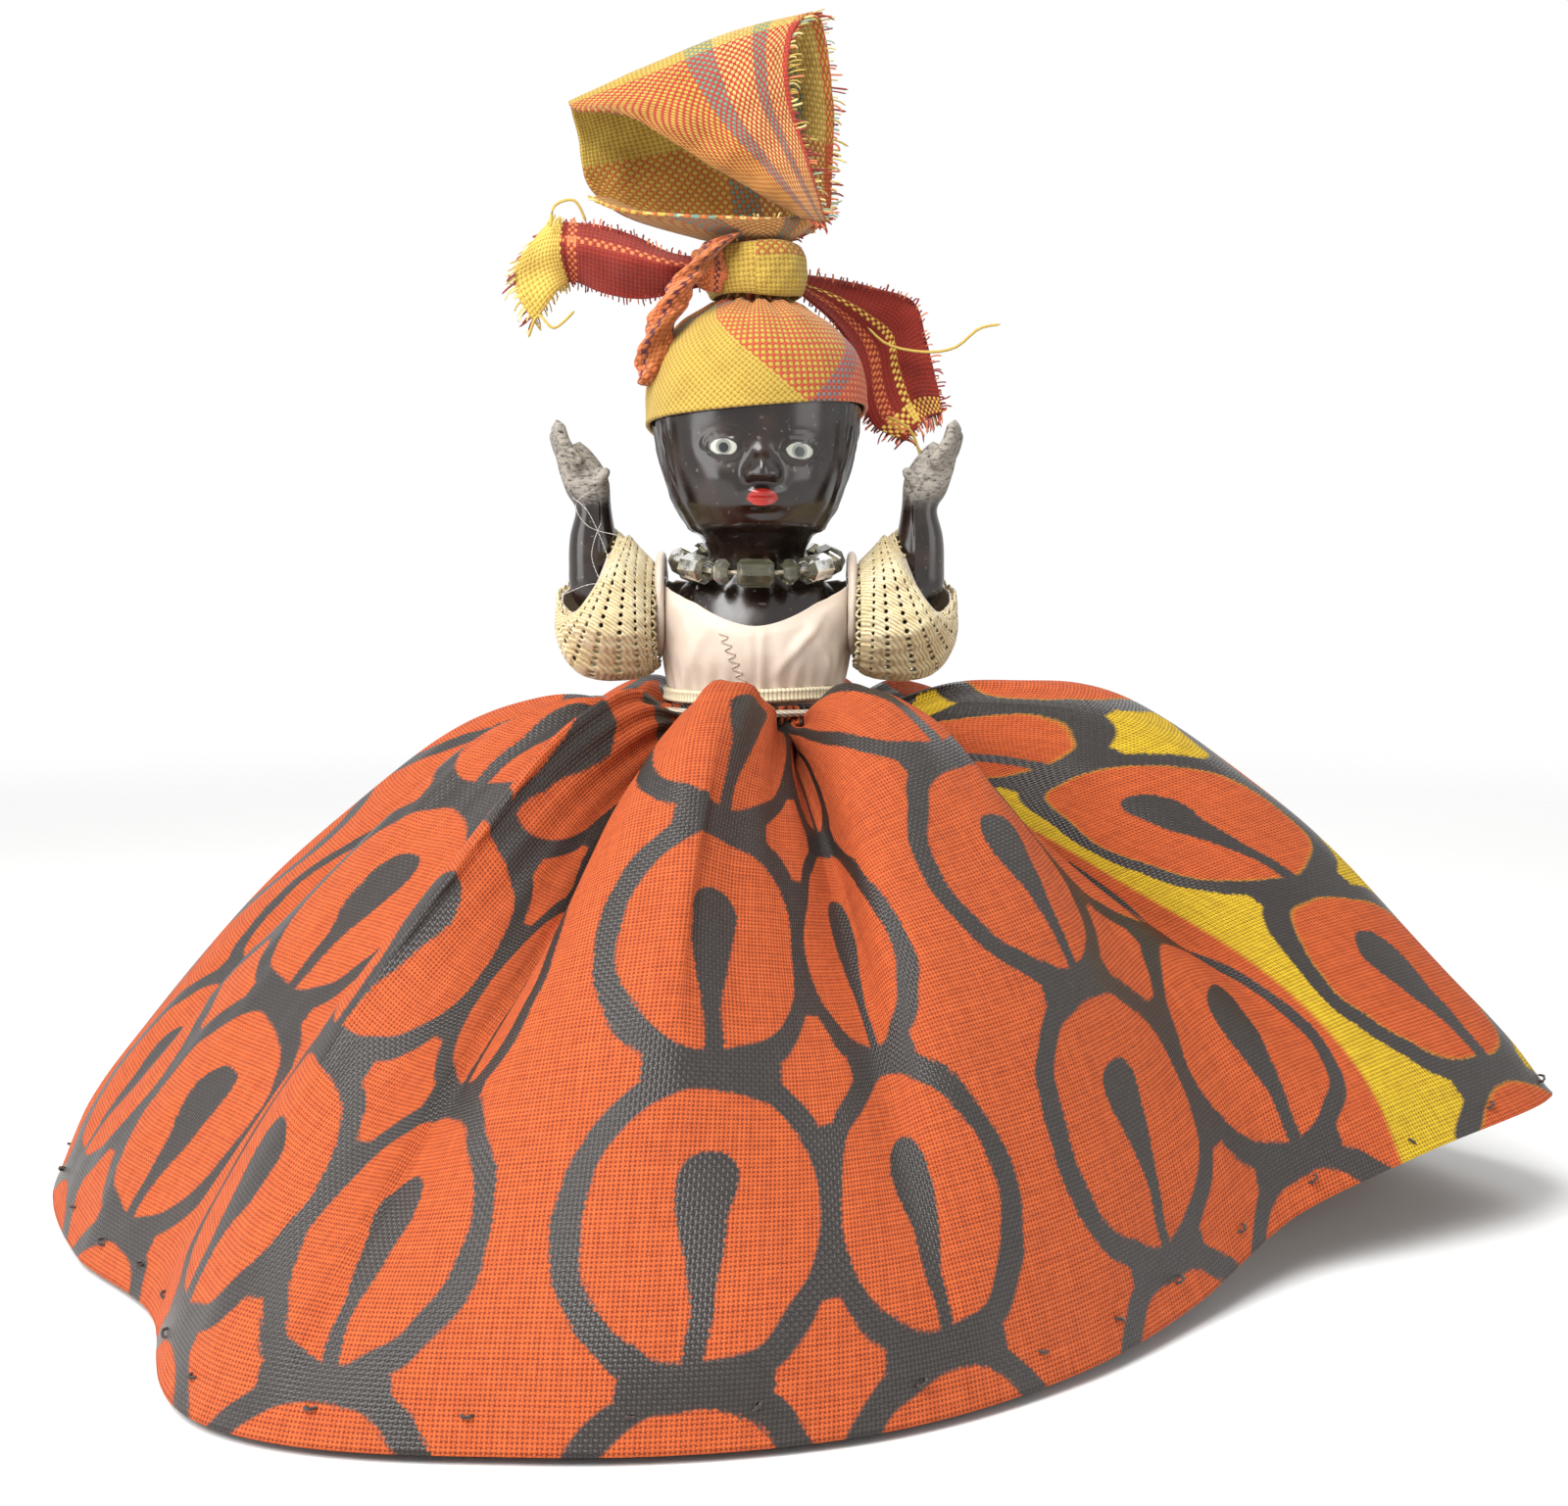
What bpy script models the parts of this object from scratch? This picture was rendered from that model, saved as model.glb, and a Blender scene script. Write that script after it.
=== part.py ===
"""Pincushion doll: a small plastic doll standing in a stuffed dome, dressed in a gathered print skirt,
a blouse with lace sleeves, a bead necklace and a tied headcloth.

Metres, +Z up. The origin is on the table, under the middle of the doll. The doll faces -Y.
Left and right are the doll's own, so the right arm is on the -X side.
Angles round the doll are in degrees from the front, -Y, and grow towards +X.
"""

import math
from collections import namedtuple

import bmesh
import bpy
from mathutils import Matrix, Vector

# Gaps and cloth
TOUCH_GAP = 0.0003
CLOTH = 0.0007
SKIRT_EASE = 0.0010

# Base card and cushion
CARD_THICKNESS = 0.0012
CARD_INSET = 0.0010
CUSHION_RADIUS = 0.050
CUSHION_HEIGHT = 0.0448
CUSHION_POWER = 1.8
SOCKET_FLOOR = 0.0050

# Doll body
WAIST_ABOVE_CUSHION = 0.0115
TORSO_WIDTH = 0.0196
TORSO_DEPTH = 0.0150
SHOULDER_ABOVE_WAIST = 0.0111
NECK_ABOVE_WAIST = 0.0160
NECK_RADIUS = 0.0054
CHIN_ABOVE_WAIST = 0.0186
HEAD_WIDTH = 0.0224
HEAD_DEPTH = 0.0232
HEAD_HEIGHT = 0.0257
NOSE_RADIUS = 0.0016
LIP_WIDTH = 0.0036

# Arms
ARM_RADIUS = 0.0030
ARM_SWELL = 1.08
WRIST_RADIUS = 0.0020
UPPER_ARM = 0.0082
FOREARM = 0.0105
HAND_LENGTH = 0.0100
FINGER_RADIUS = 0.00055
ELASTIC_RADIUS = 0.0006
ELASTIC_END = 0.0030

# Blouse and waist band
BLOUSE_BELOW_WAIST = 0.0040
NECKLINE_DROP = 0.0042
ARMHOLE_EASE = 0.0008
TRIM_WIDTH = 0.0011
TRIM_HEIGHT = 0.0018
BAND_HEIGHT = 0.0015
BAND_THICKNESS = 0.0005

# Sleeves
SLEEVE_RADIUS = 0.0080
SLEEVE_LENGTH = 0.0108
SLEEVE_RIM_RADIUS = 0.0056

# Skirt
GATHER_THREAD_RADIUS = 0.0004
GATHER_THREAD_BELOW_WAIST = 0.00075
HEM_CLEARANCE = 0.0002

# Necklace: it lies between the rolled trims of both armholes, and its beads fill it
NECKLACE_EASE = 0.0002
NECKLACE_ABOVE_WAIST = 0.0157
NECKLACE_TILT = 8
THREAD_RADIUS = 0.00025
BEAD_RADIUS = 0.0016
SHORT_BEAD_RADIUS = 0.00147
BEAD_HOLE_RADIUS = 0.00085
LONG_BEAD_SHARE = 0.672
BEAD_PAIRS = 7

# Headcloth
CAP_RIM_FRONT = 0.54
CAP_RIM_BACK = 0.34
GATHER_RADIUS = 0.0040
GATHER_HEIGHT = 0.0072
TIE_HEIGHT = 0.0058
TIE_THICKNESS = 0.0012
TIE_KNOT = 0.0044

CARD_TOP = CARD_THICKNESS
CUSHION_BOTTOM = CARD_TOP + TOUCH_GAP
CUSHION_TOP = CUSHION_BOTTOM + CUSHION_HEIGHT
WAIST = CUSHION_TOP + WAIST_ABOVE_CUSHION
SHOULDER = WAIST + SHOULDER_ABOVE_WAIST
NECK = WAIST + NECK_ABOVE_WAIST
CHIN = WAIST + CHIN_ABOVE_WAIST
CROWN = CHIN + HEAD_HEIGHT
BODY_BOTTOM = CUSHION_BOTTOM + SOCKET_FLOOR
BLOUSE_OFFSET = TOUCH_GAP + CLOTH
CAP_OFFSET = TOUCH_GAP + CLOTH
GATHER_BOTTOM = CROWN + TOUCH_GAP / 3

# Shares of the torso: height from the foot of the body (0) to the neck (1), half width, front and back depth
TORSO_SHAPE = (
    (0.00, 0.40, 0.46, 0.48),
    (0.05, 0.56, 0.62, 0.64),
    (0.25, 0.68, 0.78, 0.80),
    (0.50, 0.84, 0.92, 0.98),
    (0.64, 0.94, 0.94, 0.98),
    (0.74, 0.88, 0.92, 0.84),
    (0.775, 0.86, 0.94, 0.80),
    (0.84, 0.94, 1.10, 0.82),
    (0.89, 1.00, 1.06, 0.86),
    (0.932, 0.98, 0.90, 0.84),
    (0.960, 0.82, 0.76, 0.76),
    (0.980, 0.62, 0.66, 0.68),
)
# Shares of the head: height from the chin (0) to the crown (1), half width, front and back depth
HEAD_SHAPE = (
    (0.00, 0.57, 0.62, 0.50),
    (0.04, 0.66, 0.80, 0.60),
    (0.13, 0.79, 0.93, 0.74),
    (0.25, 0.89, 0.98, 0.87),
    (0.37, 0.965, 1.00, 0.95),
    (0.50, 1.01, 1.00, 1.00),
    (0.64, 1.005, 0.985, 1.00),
    (0.78, 0.91, 0.88, 0.90),
    (0.89, 0.69, 0.67, 0.69),
    (0.96, 0.42, 0.41, 0.42),
    (0.99, 0.20, 0.20, 0.20),
)

# Skirt profiles from waist to hem, as shares of the way out to the hem and of the waist's height
CREST_PROFILE = (
    (0.00, 1.00), (0.00, 0.955), (0.06, 1.02), (0.14, 1.06), (0.24, 1.02),
    (0.36, 0.93), (0.52, 0.76), (0.68, 0.575), (0.84, 0.34), (0.94, 0.165), (1.00, 0.00),
)
VALLEY_PROFILE = (
    (0.00, 1.00), (0.00, 0.955), (0.025, 0.90), (0.06, 0.83), (0.13, 0.76),
    (0.27, 0.65), (0.44, 0.48), (0.62, 0.32), (0.81, 0.16), (0.91, 0.08), (1.00, 0.00),
)

# Hem at some angles round the doll: how far it reaches past the cushion, and how high it lifts off the table,
# in shares of the cushion's radius
HEM = (
    (-175, 0.60, 0.000), (-140, 0.66, 0.000), (-100, 0.68, 0.020), (-70, 0.50, 0.000),
    (-54, 0.44, 0.000), (-34, 0.66, 0.000), (-14, 0.56, 0.000), (8, 0.44, 0.000),
    (28, 0.30, 0.008), (46, 0.22, 0.036), (62, 0.26, 0.120), (74, 0.50, 0.210),
    (86, 0.80, 0.260), (104, 0.68, 0.160), (130, 0.56, 0.040), (158, 0.56, 0.000),
)

# Folds round the skirt, each from one valley to the next: the valley's angle at the waist, halfway and at the
# hem, its depth there, how far its walls lean over sideways in degrees, the extra height of the fold's crest,
# and how sharp the crest is, from a plump roll below 1 to a ridge above it
Fold = namedtuple("Fold", "top mid hem deep_top deep_mid deep_hem tilt crest sharp")
FOLDS = (
    Fold(-162, -158, -156, 0.95, 0.55, 0.06, 0, 0.00, 1.0),
    Fold(-124, -122, -122, 0.95, 0.60, 0.08, 0, 0.02, 1.0),
    Fold(-88, -84, -82, 0.85, 0.35, 0.10, 0, 0.00, 0.9),
    Fold(-60, -46, -57, 0.50, 0.24, 0.20, 0, 0.00, 0.9),
    Fold(-42, -28, -28, 1.00, 0.60, 0.06, -4, 0.06, 0.9),
    Fold(25, 15, 17, 1.00, 0.55, 0.02, -8, 0.10, 0.6),
    Fold(57, 76, 69, 1.00, 0.80, 0.28, -7, 0.38, 1.0),
    Fold(104, 118, 118, 0.85, 0.45, 0.08, 0, 0.06, 1.0),
    Fold(134, 140, 142, 0.95, 0.60, 0.06, 0, 0.04, 1.0),
    Fold(166, 170, 172, 0.95, 0.55, 0.06, 0, 0.00, 1.0),
)
SKIRT_COLUMNS_PER_FOLD = 12
SKIRT_ROWS = 14
CREASE_TOP = 0.62
CREASE_HEM = 1.5
BULGE_PLACE = 1.4
SIDE_CREST_DROP = 0.055

# Sheets of the headcloth above its gather, as rows of points (across, towards the back, above the gather's
# foot) in shares of the gather's height
FLAP_CAGE = (
    ((-0.361, 0.139, 0.917), (-0.139, 0.222, 0.917), (0.139, 0.222, 0.917), (0.361, 0.139, 0.917)),
    ((-1.944, 0.500, 1.389), (-0.833, 0.722, 1.222), (0.417, 0.694, 1.222), (1.083, 0.417, 1.361)),
    ((-2.611, 0.556, 1.861), (-1.111, 0.917, 2.083), (0.333, 0.806, 2.222), (1.167, 0.472, 2.083)),
    ((-2.778, 0.417, 2.583), (-1.389, 0.750, 3.000), (0.194, 0.694, 3.333), (1.194, 0.417, 3.167)),
    ((-2.861, 0.083, 3.056), (-1.667, 0.167, 3.611), (-0.278, 0.194, 4.139), (0.972, 0.194, 4.389)),
    ((-2.750, -0.306, 2.889), (-1.528, -0.417, 3.222), (-0.278, -0.389, 3.694), (0.556, -0.250, 4.000)),
    ((-1.944, -0.556, 2.750), (-0.972, -0.694, 2.667), (-0.083, -0.639, 2.861), (0.528, -0.472, 3.028)),
    ((-0.722, -0.667, 2.028), (-0.139, -0.750, 1.972), (0.389, -0.722, 2.028), (0.806, -0.611, 2.083)),
    ((0.722, -0.667, 1.222), (0.833, -0.694, 1.194), (0.944, -0.694, 1.167), (1.056, -0.639, 1.167)),
)
LIP_CAGE = (
    ((-0.306, 0.194, 0.917), (-0.403, -0.028, 0.917), (-0.278, -0.278, 0.917), (0.000, -0.361, 0.917),
     (0.278, -0.250, 0.917), (0.389, -0.028, 0.917)),
    ((-1.250, 0.278, 1.222), (-1.458, -0.083, 1.167), (-1.042, -0.500, 1.097), (-0.139, -0.694, 1.069),
     (0.583, -0.444, 1.083), (0.778, -0.056, 1.139)),
    ((-2.292, 0.333, 1.639), (-2.500, -0.111, 1.583), (-1.806, -0.667, 1.306), (-0.278, -0.889, 1.194),
     (0.722, -0.417, 1.278), (1.000, -0.056, 1.417)),
)

# Tails of the tie, as rows of points from where each leaves the band (across, towards the back, above the
# gather's foot) in shares of the band's height
RIGHT_TAIL_CAGE = (
    ((0.000, -0.259, 0.862), (0.000, -0.310, 0.621), (0.000, -0.172, 0.379)),
    ((-0.707, -0.517, 0.897), (-0.690, -0.759, 0.586), (-0.690, -0.345, 0.172)),
    ((-1.397, -0.431, 1.207), (-1.379, -0.793, 0.690), (-1.379, -0.259, 0.069)),
    ((-2.086, -0.207, 1.448), (-2.069, -0.586, 0.828), (-2.069, -0.086, 0.207)),
    ((-2.724, -0.103, 1.517), (-2.690, -0.345, 0.931), (-2.655, 0.103, 0.448)),
    ((-3.034, -0.207, 1.517), (-3.172, -0.448, 0.828), (-2.966, -0.172, 0.241)),
    ((-3.241, -0.276, 1.345), (-3.776, -0.586, 0.448), (-3.397, -0.379, -0.379)),
)
LEFT_TAIL_CAGE = (
    ((0.000, 0.172, 0.586), (0.000, 0.241, 0.414), (0.000, 0.172, 0.241)),
    ((0.793, 0.621, 0.517), (0.741, 0.828, 0.172), (0.621, 0.793, -0.207)),
    ((1.552, 0.897, 0.379), (1.379, 1.172, -0.138), (1.000, 1.138, -0.690)),
    ((2.241, 1.034, 0.172), (1.828, 1.345, -0.448), (1.172, 1.276, -1.310)),
    ((2.517, 1.069, -0.586), (2.000, 1.414, -0.966), (1.276, 1.379, -1.828)),
    ((2.724, 1.138, -1.448), (2.241, 1.448, -1.552), (1.517, 1.379, -2.276)),
    ((2.828, 1.138, -2.000), (2.517, 1.345, -2.138), (2.103, 1.276, -2.552)),
)

parts = bpy.data.collections.new("pincushion_doll")
cutters = bpy.data.collections.new("cutters")


def clear_scene():
    """Empties the scene and adds the two collections."""
    for old in list(bpy.data.objects):
        bpy.data.objects.remove(old, do_unlink=True)
    bpy.context.scene.collection.children.link(parts)
    bpy.context.scene.collection.children.link(cutters)


def material(name, colour, roughness, metallic=0.0):
    """A Principled BSDF material."""
    made = bpy.data.materials.new(name)
    made.use_nodes = True
    shader = made.node_tree.nodes["Principled BSDF"]
    shader.inputs["Base Color"].default_value = (*colour, 1.0)
    shader.inputs["Roughness"].default_value = roughness
    shader.inputs["Metallic"].default_value = metallic
    return made


def add_object(name, mesh, finish):
    """Puts a mesh in the parts collection, shaded smooth apart from its sharp edges."""
    made = bpy.data.objects.new(name, mesh)
    parts.objects.link(made)
    mesh.materials.clear()
    mesh.materials.append(finish)
    mesh.shade_smooth()
    mesh.set_sharp_from_angle(angle=math.radians(50))
    return made


def add_cutter(name, mesh):
    """Puts a mesh in the cutters collection, hidden from renders."""
    made = bpy.data.objects.new(name, mesh)
    cutters.objects.link(made)
    made.hide_render = True
    made.display_type = "WIRE"
    return made


def boolean(target, other, operation):
    """Adds an exact Boolean of target with other."""
    modifier = target.modifiers.new(other.name, "BOOLEAN")
    modifier.object = other
    modifier.operation = operation
    modifier.solver = "EXACT"


def solidify(target, thickness, offset=-1.0):
    """Gives an open sheet its thickness, inwards unless offset says otherwise."""
    modifier = target.modifiers.new("Thickness", "SOLIDIFY")
    modifier.thickness = thickness
    modifier.offset = offset


def mesh_of(name, bm, recalculate=False):
    """Turns a bmesh into a mesh and frees it."""
    if recalculate:
        bmesh.ops.recalc_face_normals(bm, faces=bm.faces)
    mesh = bpy.data.meshes.new(name)
    bm.to_mesh(mesh)
    bm.free()
    return mesh


def smooth_path(points, share):
    """The point at a share from 0 to 1 of a smooth curve through points, which are tuples of one length."""
    spans = len(points) - 1
    place = min(max(share, 0.0), 1.0) * spans
    span = min(int(place), spans - 1)
    t = place - span
    before = points[max(span - 1, 0)]
    here = points[span]
    there = points[span + 1]
    after = points[min(span + 2, spans)]
    found = []
    for a, b, c, d in zip(before, here, there, after):
        found.append(0.5 * (2 * b + (c - a) * t + (2 * a - 5 * b + 4 * c - d) * t * t
                            + (3 * b - a - 3 * c + d) * t ** 3))
    return found


def grid_mesh(name, columns, rows, point_at, wrapped=False):
    """A grid whose vertex at shares (u, v) lies at point_at(u, v). A wrapped one closes on itself along u."""
    bm = bmesh.new()
    bmesh.ops.create_grid(bm, x_segments=columns, y_segments=rows, size=1.0)
    for vert in bm.verts:
        vert.co = point_at((vert.co.x + 1) / 2, (vert.co.y + 1) / 2)
    if wrapped:
        bmesh.ops.remove_doubles(bm, verts=bm.verts, dist=1e-6)
    return mesh_of(name, bm)


def closed_mesh(name, columns, rows, point_at):
    """A wrapped grid whose first and last rings are filled with a face."""
    bm = bmesh.new()
    bmesh.ops.create_grid(bm, x_segments=columns, y_segments=rows, size=1.0)
    for vert in bm.verts:
        vert.co = point_at((vert.co.x + 1) / 2, (vert.co.y + 1) / 2)
    bmesh.ops.remove_doubles(bm, verts=bm.verts, dist=1e-6)
    bmesh.ops.holes_fill(bm, edges=[edge for edge in bm.edges if edge.is_boundary])
    return mesh_of(name, bm, recalculate=True)


def sheet_mesh(name, cage, unit, origin, columns, rows):
    """A smooth sheet through the rows of points in cage, which are in shares of unit, moved to origin."""
    def point_at(u, v):
        across = [smooth_path([row[column] for row in cage], v) for column in range(len(cage[0]))]
        return origin + Vector(smooth_path(across, u)) * unit

    return grid_mesh(name, columns, rows, point_at)


def ball_mesh(name, centre, radii, segments=16, rings=10):
    """An ellipsoid."""
    bm = bmesh.new()
    placed = Matrix.Translation(centre) @ Matrix.Diagonal((*radii, 1.0))
    bmesh.ops.create_uvsphere(bm, u_segments=segments, v_segments=rings, radius=1.0, matrix=placed)
    return mesh_of(name, bm)


def rod_mesh(name, start, end, radius, end_radius=None, segments=16):
    """A cylinder or cone between two points."""
    start = Vector(start)
    end = Vector(end)
    along = end - start
    turn = along.to_track_quat("Z", "Y").to_matrix().to_4x4()
    placed = Matrix.Translation((start + end) / 2) @ turn
    bm = bmesh.new()
    bmesh.ops.create_cone(
        bm, cap_ends=True, segments=segments, radius1=radius,
        radius2=radius if end_radius is None else end_radius, depth=along.length, matrix=placed,
    )
    return mesh_of(name, bm)


def share_at(rows, key):
    """The smooth values of a table's other columns where its rising first column equals key."""
    spans = len(rows) - 1
    span = 0
    while span < spans - 1 and rows[span + 1][0] < key:
        span += 1
    low = rows[span][0]
    high = rows[span + 1][0]
    t = min(max((key - low) / (high - low), 0.0), 1.0)
    return smooth_path(rows, (span + t) / spans)[1:]


def around(angle, half_width, front, back, height):
    """A point on an oval with unlike front and back halves, at an angle in degrees from the front."""
    turn = math.radians(angle)
    depth = front if math.cos(turn) > 0 else back
    return Vector((half_width * math.sin(turn), -depth * math.cos(turn), height))


def torso_section(height):
    """Half width, front and back of the torso at a height."""
    share = (height - BODY_BOTTOM) / (NECK - BODY_BOTTOM)
    wide, front, back = share_at(TORSO_SHAPE, share)
    return wide * TORSO_WIDTH / 2, front * TORSO_DEPTH / 2, back * TORSO_DEPTH / 2


def head_section(height):
    """Half width, front and back of the head at a height."""
    wide, front, back = share_at(HEAD_SHAPE, (height - CHIN) / HEAD_HEIGHT)
    return wide * HEAD_WIDTH / 2, front * HEAD_DEPTH / 2, back * HEAD_DEPTH / 2


def offset_point(section_at, angle, height, offset):
    """A point of the turned surface given by section_at, moved outwards along its normal."""
    def surface(turned, level):
        return around(turned, *section_at(level), level)

    step = 0.0001
    across = surface(angle + 1, height) - surface(angle - 1, height)
    upwards = surface(angle, height + step) - surface(angle, height - step)
    return surface(angle, height) + across.cross(upwards).normalized() * offset


def torso_point(angle, height, offset):
    """A point at an offset outside the torso."""
    return offset_point(torso_section, angle, height, offset)


def head_point(angle, height, offset):
    """A point at an offset outside the head."""
    return offset_point(head_section, angle, height, offset)


def make_base_card(finish):
    """The stiff disc that the cushion is built on."""
    radius = CUSHION_RADIUS - CARD_INSET
    mesh = rod_mesh("base_card", (0, 0, 0), (0, 0, CARD_TOP), radius, segments=64)
    return add_object("base_card", mesh, finish)


def cushion_surface(radius):
    """Height of the cushion's dome above its flat bottom at a radius."""
    share = min(radius / CUSHION_RADIUS, 1.0)
    return CUSHION_HEIGHT * (1 - share ** CUSHION_POWER) ** (1 / CUSHION_POWER)


def socket_radius(height):
    """Radius of the cushion's socket, which clears the doll's hips and legs."""
    widest = max(max(torso_section(min(height, CUSHION_TOP))), max(torso_section(CUSHION_TOP)))
    return widest + TOUCH_GAP * 2


def make_cushion(finish):
    """The stuffed dome: a turned profile with a socket for the doll."""
    socket = socket_radius(CUSHION_TOP)
    steps = 12
    profile = [(socket, CUSHION_BOTTOM + cushion_surface(socket))]
    for step in range(1, steps):
        turn = math.pi / 2 * step / steps
        radius = CUSHION_RADIUS * math.sin(turn)
        if radius > socket * 1.1:
            profile.append((radius, CUSHION_BOTTOM + cushion_surface(radius)))
    profile.append((CUSHION_RADIUS, CUSHION_BOTTOM + CUSHION_HEIGHT * 0.06))
    profile.append((CUSHION_RADIUS - CARD_INSET, CUSHION_BOTTOM))
    profile.append((0.0, CUSHION_BOTTOM))
    socket_floor = BODY_BOTTOM - TOUCH_GAP
    profile.insert(0, (socket, socket_floor))
    profile.insert(0, (0.0, socket_floor))
    mesh = bpy.data.meshes.new("cushion")
    edges = [(i, i + 1) for i in range(len(profile) - 1)]
    mesh.from_pydata([(radius, 0, height) for radius, height in profile], edges, [])
    made = add_object("cushion", mesh, finish)
    screw = made.modifiers.new("Turning", "SCREW")
    screw.steps = 40
    screw.render_steps = 40
    screw.use_merge_vertices = True
    screw.merge_threshold = 0.00001
    return made


def hem_at(angle):
    """Reach past the cushion and lift of the hem at an angle, in shares of the cushion's radius."""
    rows = [(HEM[-1][0] - 360, *HEM[-1][1:]), *HEM, (HEM[0][0] + 360, *HEM[0][1:])]
    key = (angle - HEM[0][0]) % 360 + HEM[0][0]
    return share_at(rows, key)


def outside_cushion(radius, height):
    """Pushes a place in a radial section off the cushion, by the cloth's thickness and some ease."""
    ease = CLOTH + SKIRT_EASE
    across = radius / (CUSHION_RADIUS + ease)
    up = max(height - CUSHION_BOTTOM, 0.0) / (CUSHION_HEIGHT + ease)
    size = (across ** CUSHION_POWER + up ** CUSHION_POWER) ** (1 / CUSHION_POWER)
    if size >= 1.0:
        return radius, height
    return radius / size, CUSHION_BOTTOM + (height - CUSHION_BOTTOM) / size


def skirt_waist_radius(angle):
    """Radius of the skirt's neck, outside the blouse at the waist."""
    point = torso_point(angle, WAIST, BLOUSE_OFFSET + TOUCH_GAP * 2 + CLOTH)
    return math.hypot(point.x, point.y)


def skirt_point(fold, share, down):
    """A point of the skirt's outer side: share runs from valley to valley, and down from waist to hem."""
    here = FOLDS[fold]
    there = FOLDS[(fold + 1) % len(FOLDS)]
    turn = 0 if there.top > here.top else 360
    middle = math.sin(math.pi * down ** BULGE_PLACE) ** 2
    bump = math.sin(math.pi * share) ** (here.sharp * (CREASE_TOP + (CREASE_HEM - CREASE_TOP) * down))
    sides = []
    for side in (here, there):
        line = ((side.top, side.deep_top), (side.mid, side.deep_mid), (side.hem, side.deep_hem))
        sides.append(smooth_path(line, down))
    (valley, deep), (next_valley, next_deep) = sides
    wall = math.sin(2 * math.pi * share)
    tilt = here.tilt * max(wall, 0.0) + there.tilt * max(-wall, 0.0)
    angle = valley + (next_valley + turn - valley) * share + tilt * middle
    floor = 1 - (deep + (next_deep - deep) * share)
    blend = floor + (1 + here.crest * middle - floor) * bump

    out_crest, up_crest = smooth_path(CREST_PROFILE, down)
    out_valley, up_valley = smooth_path(VALLEY_PROFILE, down)
    sideways = math.sin(math.radians(angle)) ** 2
    up_crest -= SIDE_CREST_DROP * sideways * math.exp(-((down - 0.28) / 0.16) ** 2)
    out = out_valley + (out_crest - out_valley) * blend
    up = up_valley + (up_crest - up_valley) * blend

    reach, lift = hem_at(angle)
    neck = skirt_waist_radius(angle)
    radius = neck + (CUSHION_RADIUS * (1 + reach) - neck) * out
    lowest = HEM_CLEARANCE + CLOTH + CUSHION_RADIUS * lift * down ** 1.5
    height = lowest + (WAIST - lowest) * up
    radius, height = outside_cushion(radius, height)
    turned = math.radians(angle)
    return Vector((radius * math.sin(turned), -radius * math.cos(turned), height))


def skirt_row(fold, down, columns):
    """Points across one fold, evenly spaced along the cloth, without the last one."""
    fine = 48
    points = [skirt_point(fold, step / fine, down) for step in range(fine + 1)]
    lengths = [0.0]
    for a, b in zip(points, points[1:]):
        lengths.append(lengths[-1] + (b - a).length)
    row = []
    step = 0
    for column in range(columns):
        wanted = lengths[-1] * column / columns
        while lengths[step + 1] < wanted:
            step += 1
        t = (wanted - lengths[step]) / (lengths[step + 1] - lengths[step])
        row.append(points[step].lerp(points[step + 1], t))
    return row


def make_skirt(finish):
    """The gathered skirt, one sheet of cloth from its neck at the waist to its hem."""
    columns = len(FOLDS) * SKIRT_COLUMNS_PER_FOLD
    rows = []
    for step in range(SKIRT_ROWS + 1):
        down = 1 - step / SKIRT_ROWS
        row = []
        for fold in range(len(FOLDS)):
            row += skirt_row(fold, down, SKIRT_COLUMNS_PER_FOLD)
        rows.append(row)

    def point_at(u, v):
        return rows[round(v * SKIRT_ROWS)][round(u * columns) % columns]

    made = add_object("skirt", grid_mesh("skirt", columns, SKIRT_ROWS, point_at, wrapped=True), finish)
    solidify(made, CLOTH)
    return made


def ring_mesh(name, centre_at, half_height, half_thickness, columns=36, sides=6):
    """A closed band whose middle runs through centre_at(angle), with an oval section."""
    def point_at(u, v):
        angle = 360 * u
        middle = centre_at(angle)
        outward = Vector((middle.x, middle.y, 0)).normalized()
        turn = 2 * math.pi * v
        rise = Vector((0, 0, half_height * math.sin(turn)))
        return middle + outward * half_thickness * math.cos(turn) + rise

    return grid_mesh(name, columns, sides, point_at, wrapped=True)


def make_gathering_thread(finish):
    """The thread that draws the skirt in, lying round the outside of its neck."""
    height = WAIST - GATHER_THREAD_BELOW_WAIST

    def centre_at(angle):
        radius = skirt_waist_radius(angle) + TOUCH_GAP + GATHER_THREAD_RADIUS
        turn = math.radians(angle)
        return Vector((radius * math.sin(turn), -radius * math.cos(turn), height))

    mesh = ring_mesh("gathering_thread", centre_at, GATHER_THREAD_RADIUS, GATHER_THREAD_RADIUS)
    return add_object("gathering_thread", mesh, finish)


def make_waist_band(finish):
    """The narrow elastic band round the blouse, just above the skirt."""
    height = WAIST + BAND_HEIGHT / 2 + TOUCH_GAP * 2

    def centre_at(angle):
        return torso_point(angle, height, BLOUSE_OFFSET + TOUCH_GAP + BAND_THICKNESS)

    mesh = ring_mesh("waist_band", centre_at, BAND_HEIGHT / 2, BAND_THICKNESS)
    return add_object("waist_band", mesh, finish)


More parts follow.
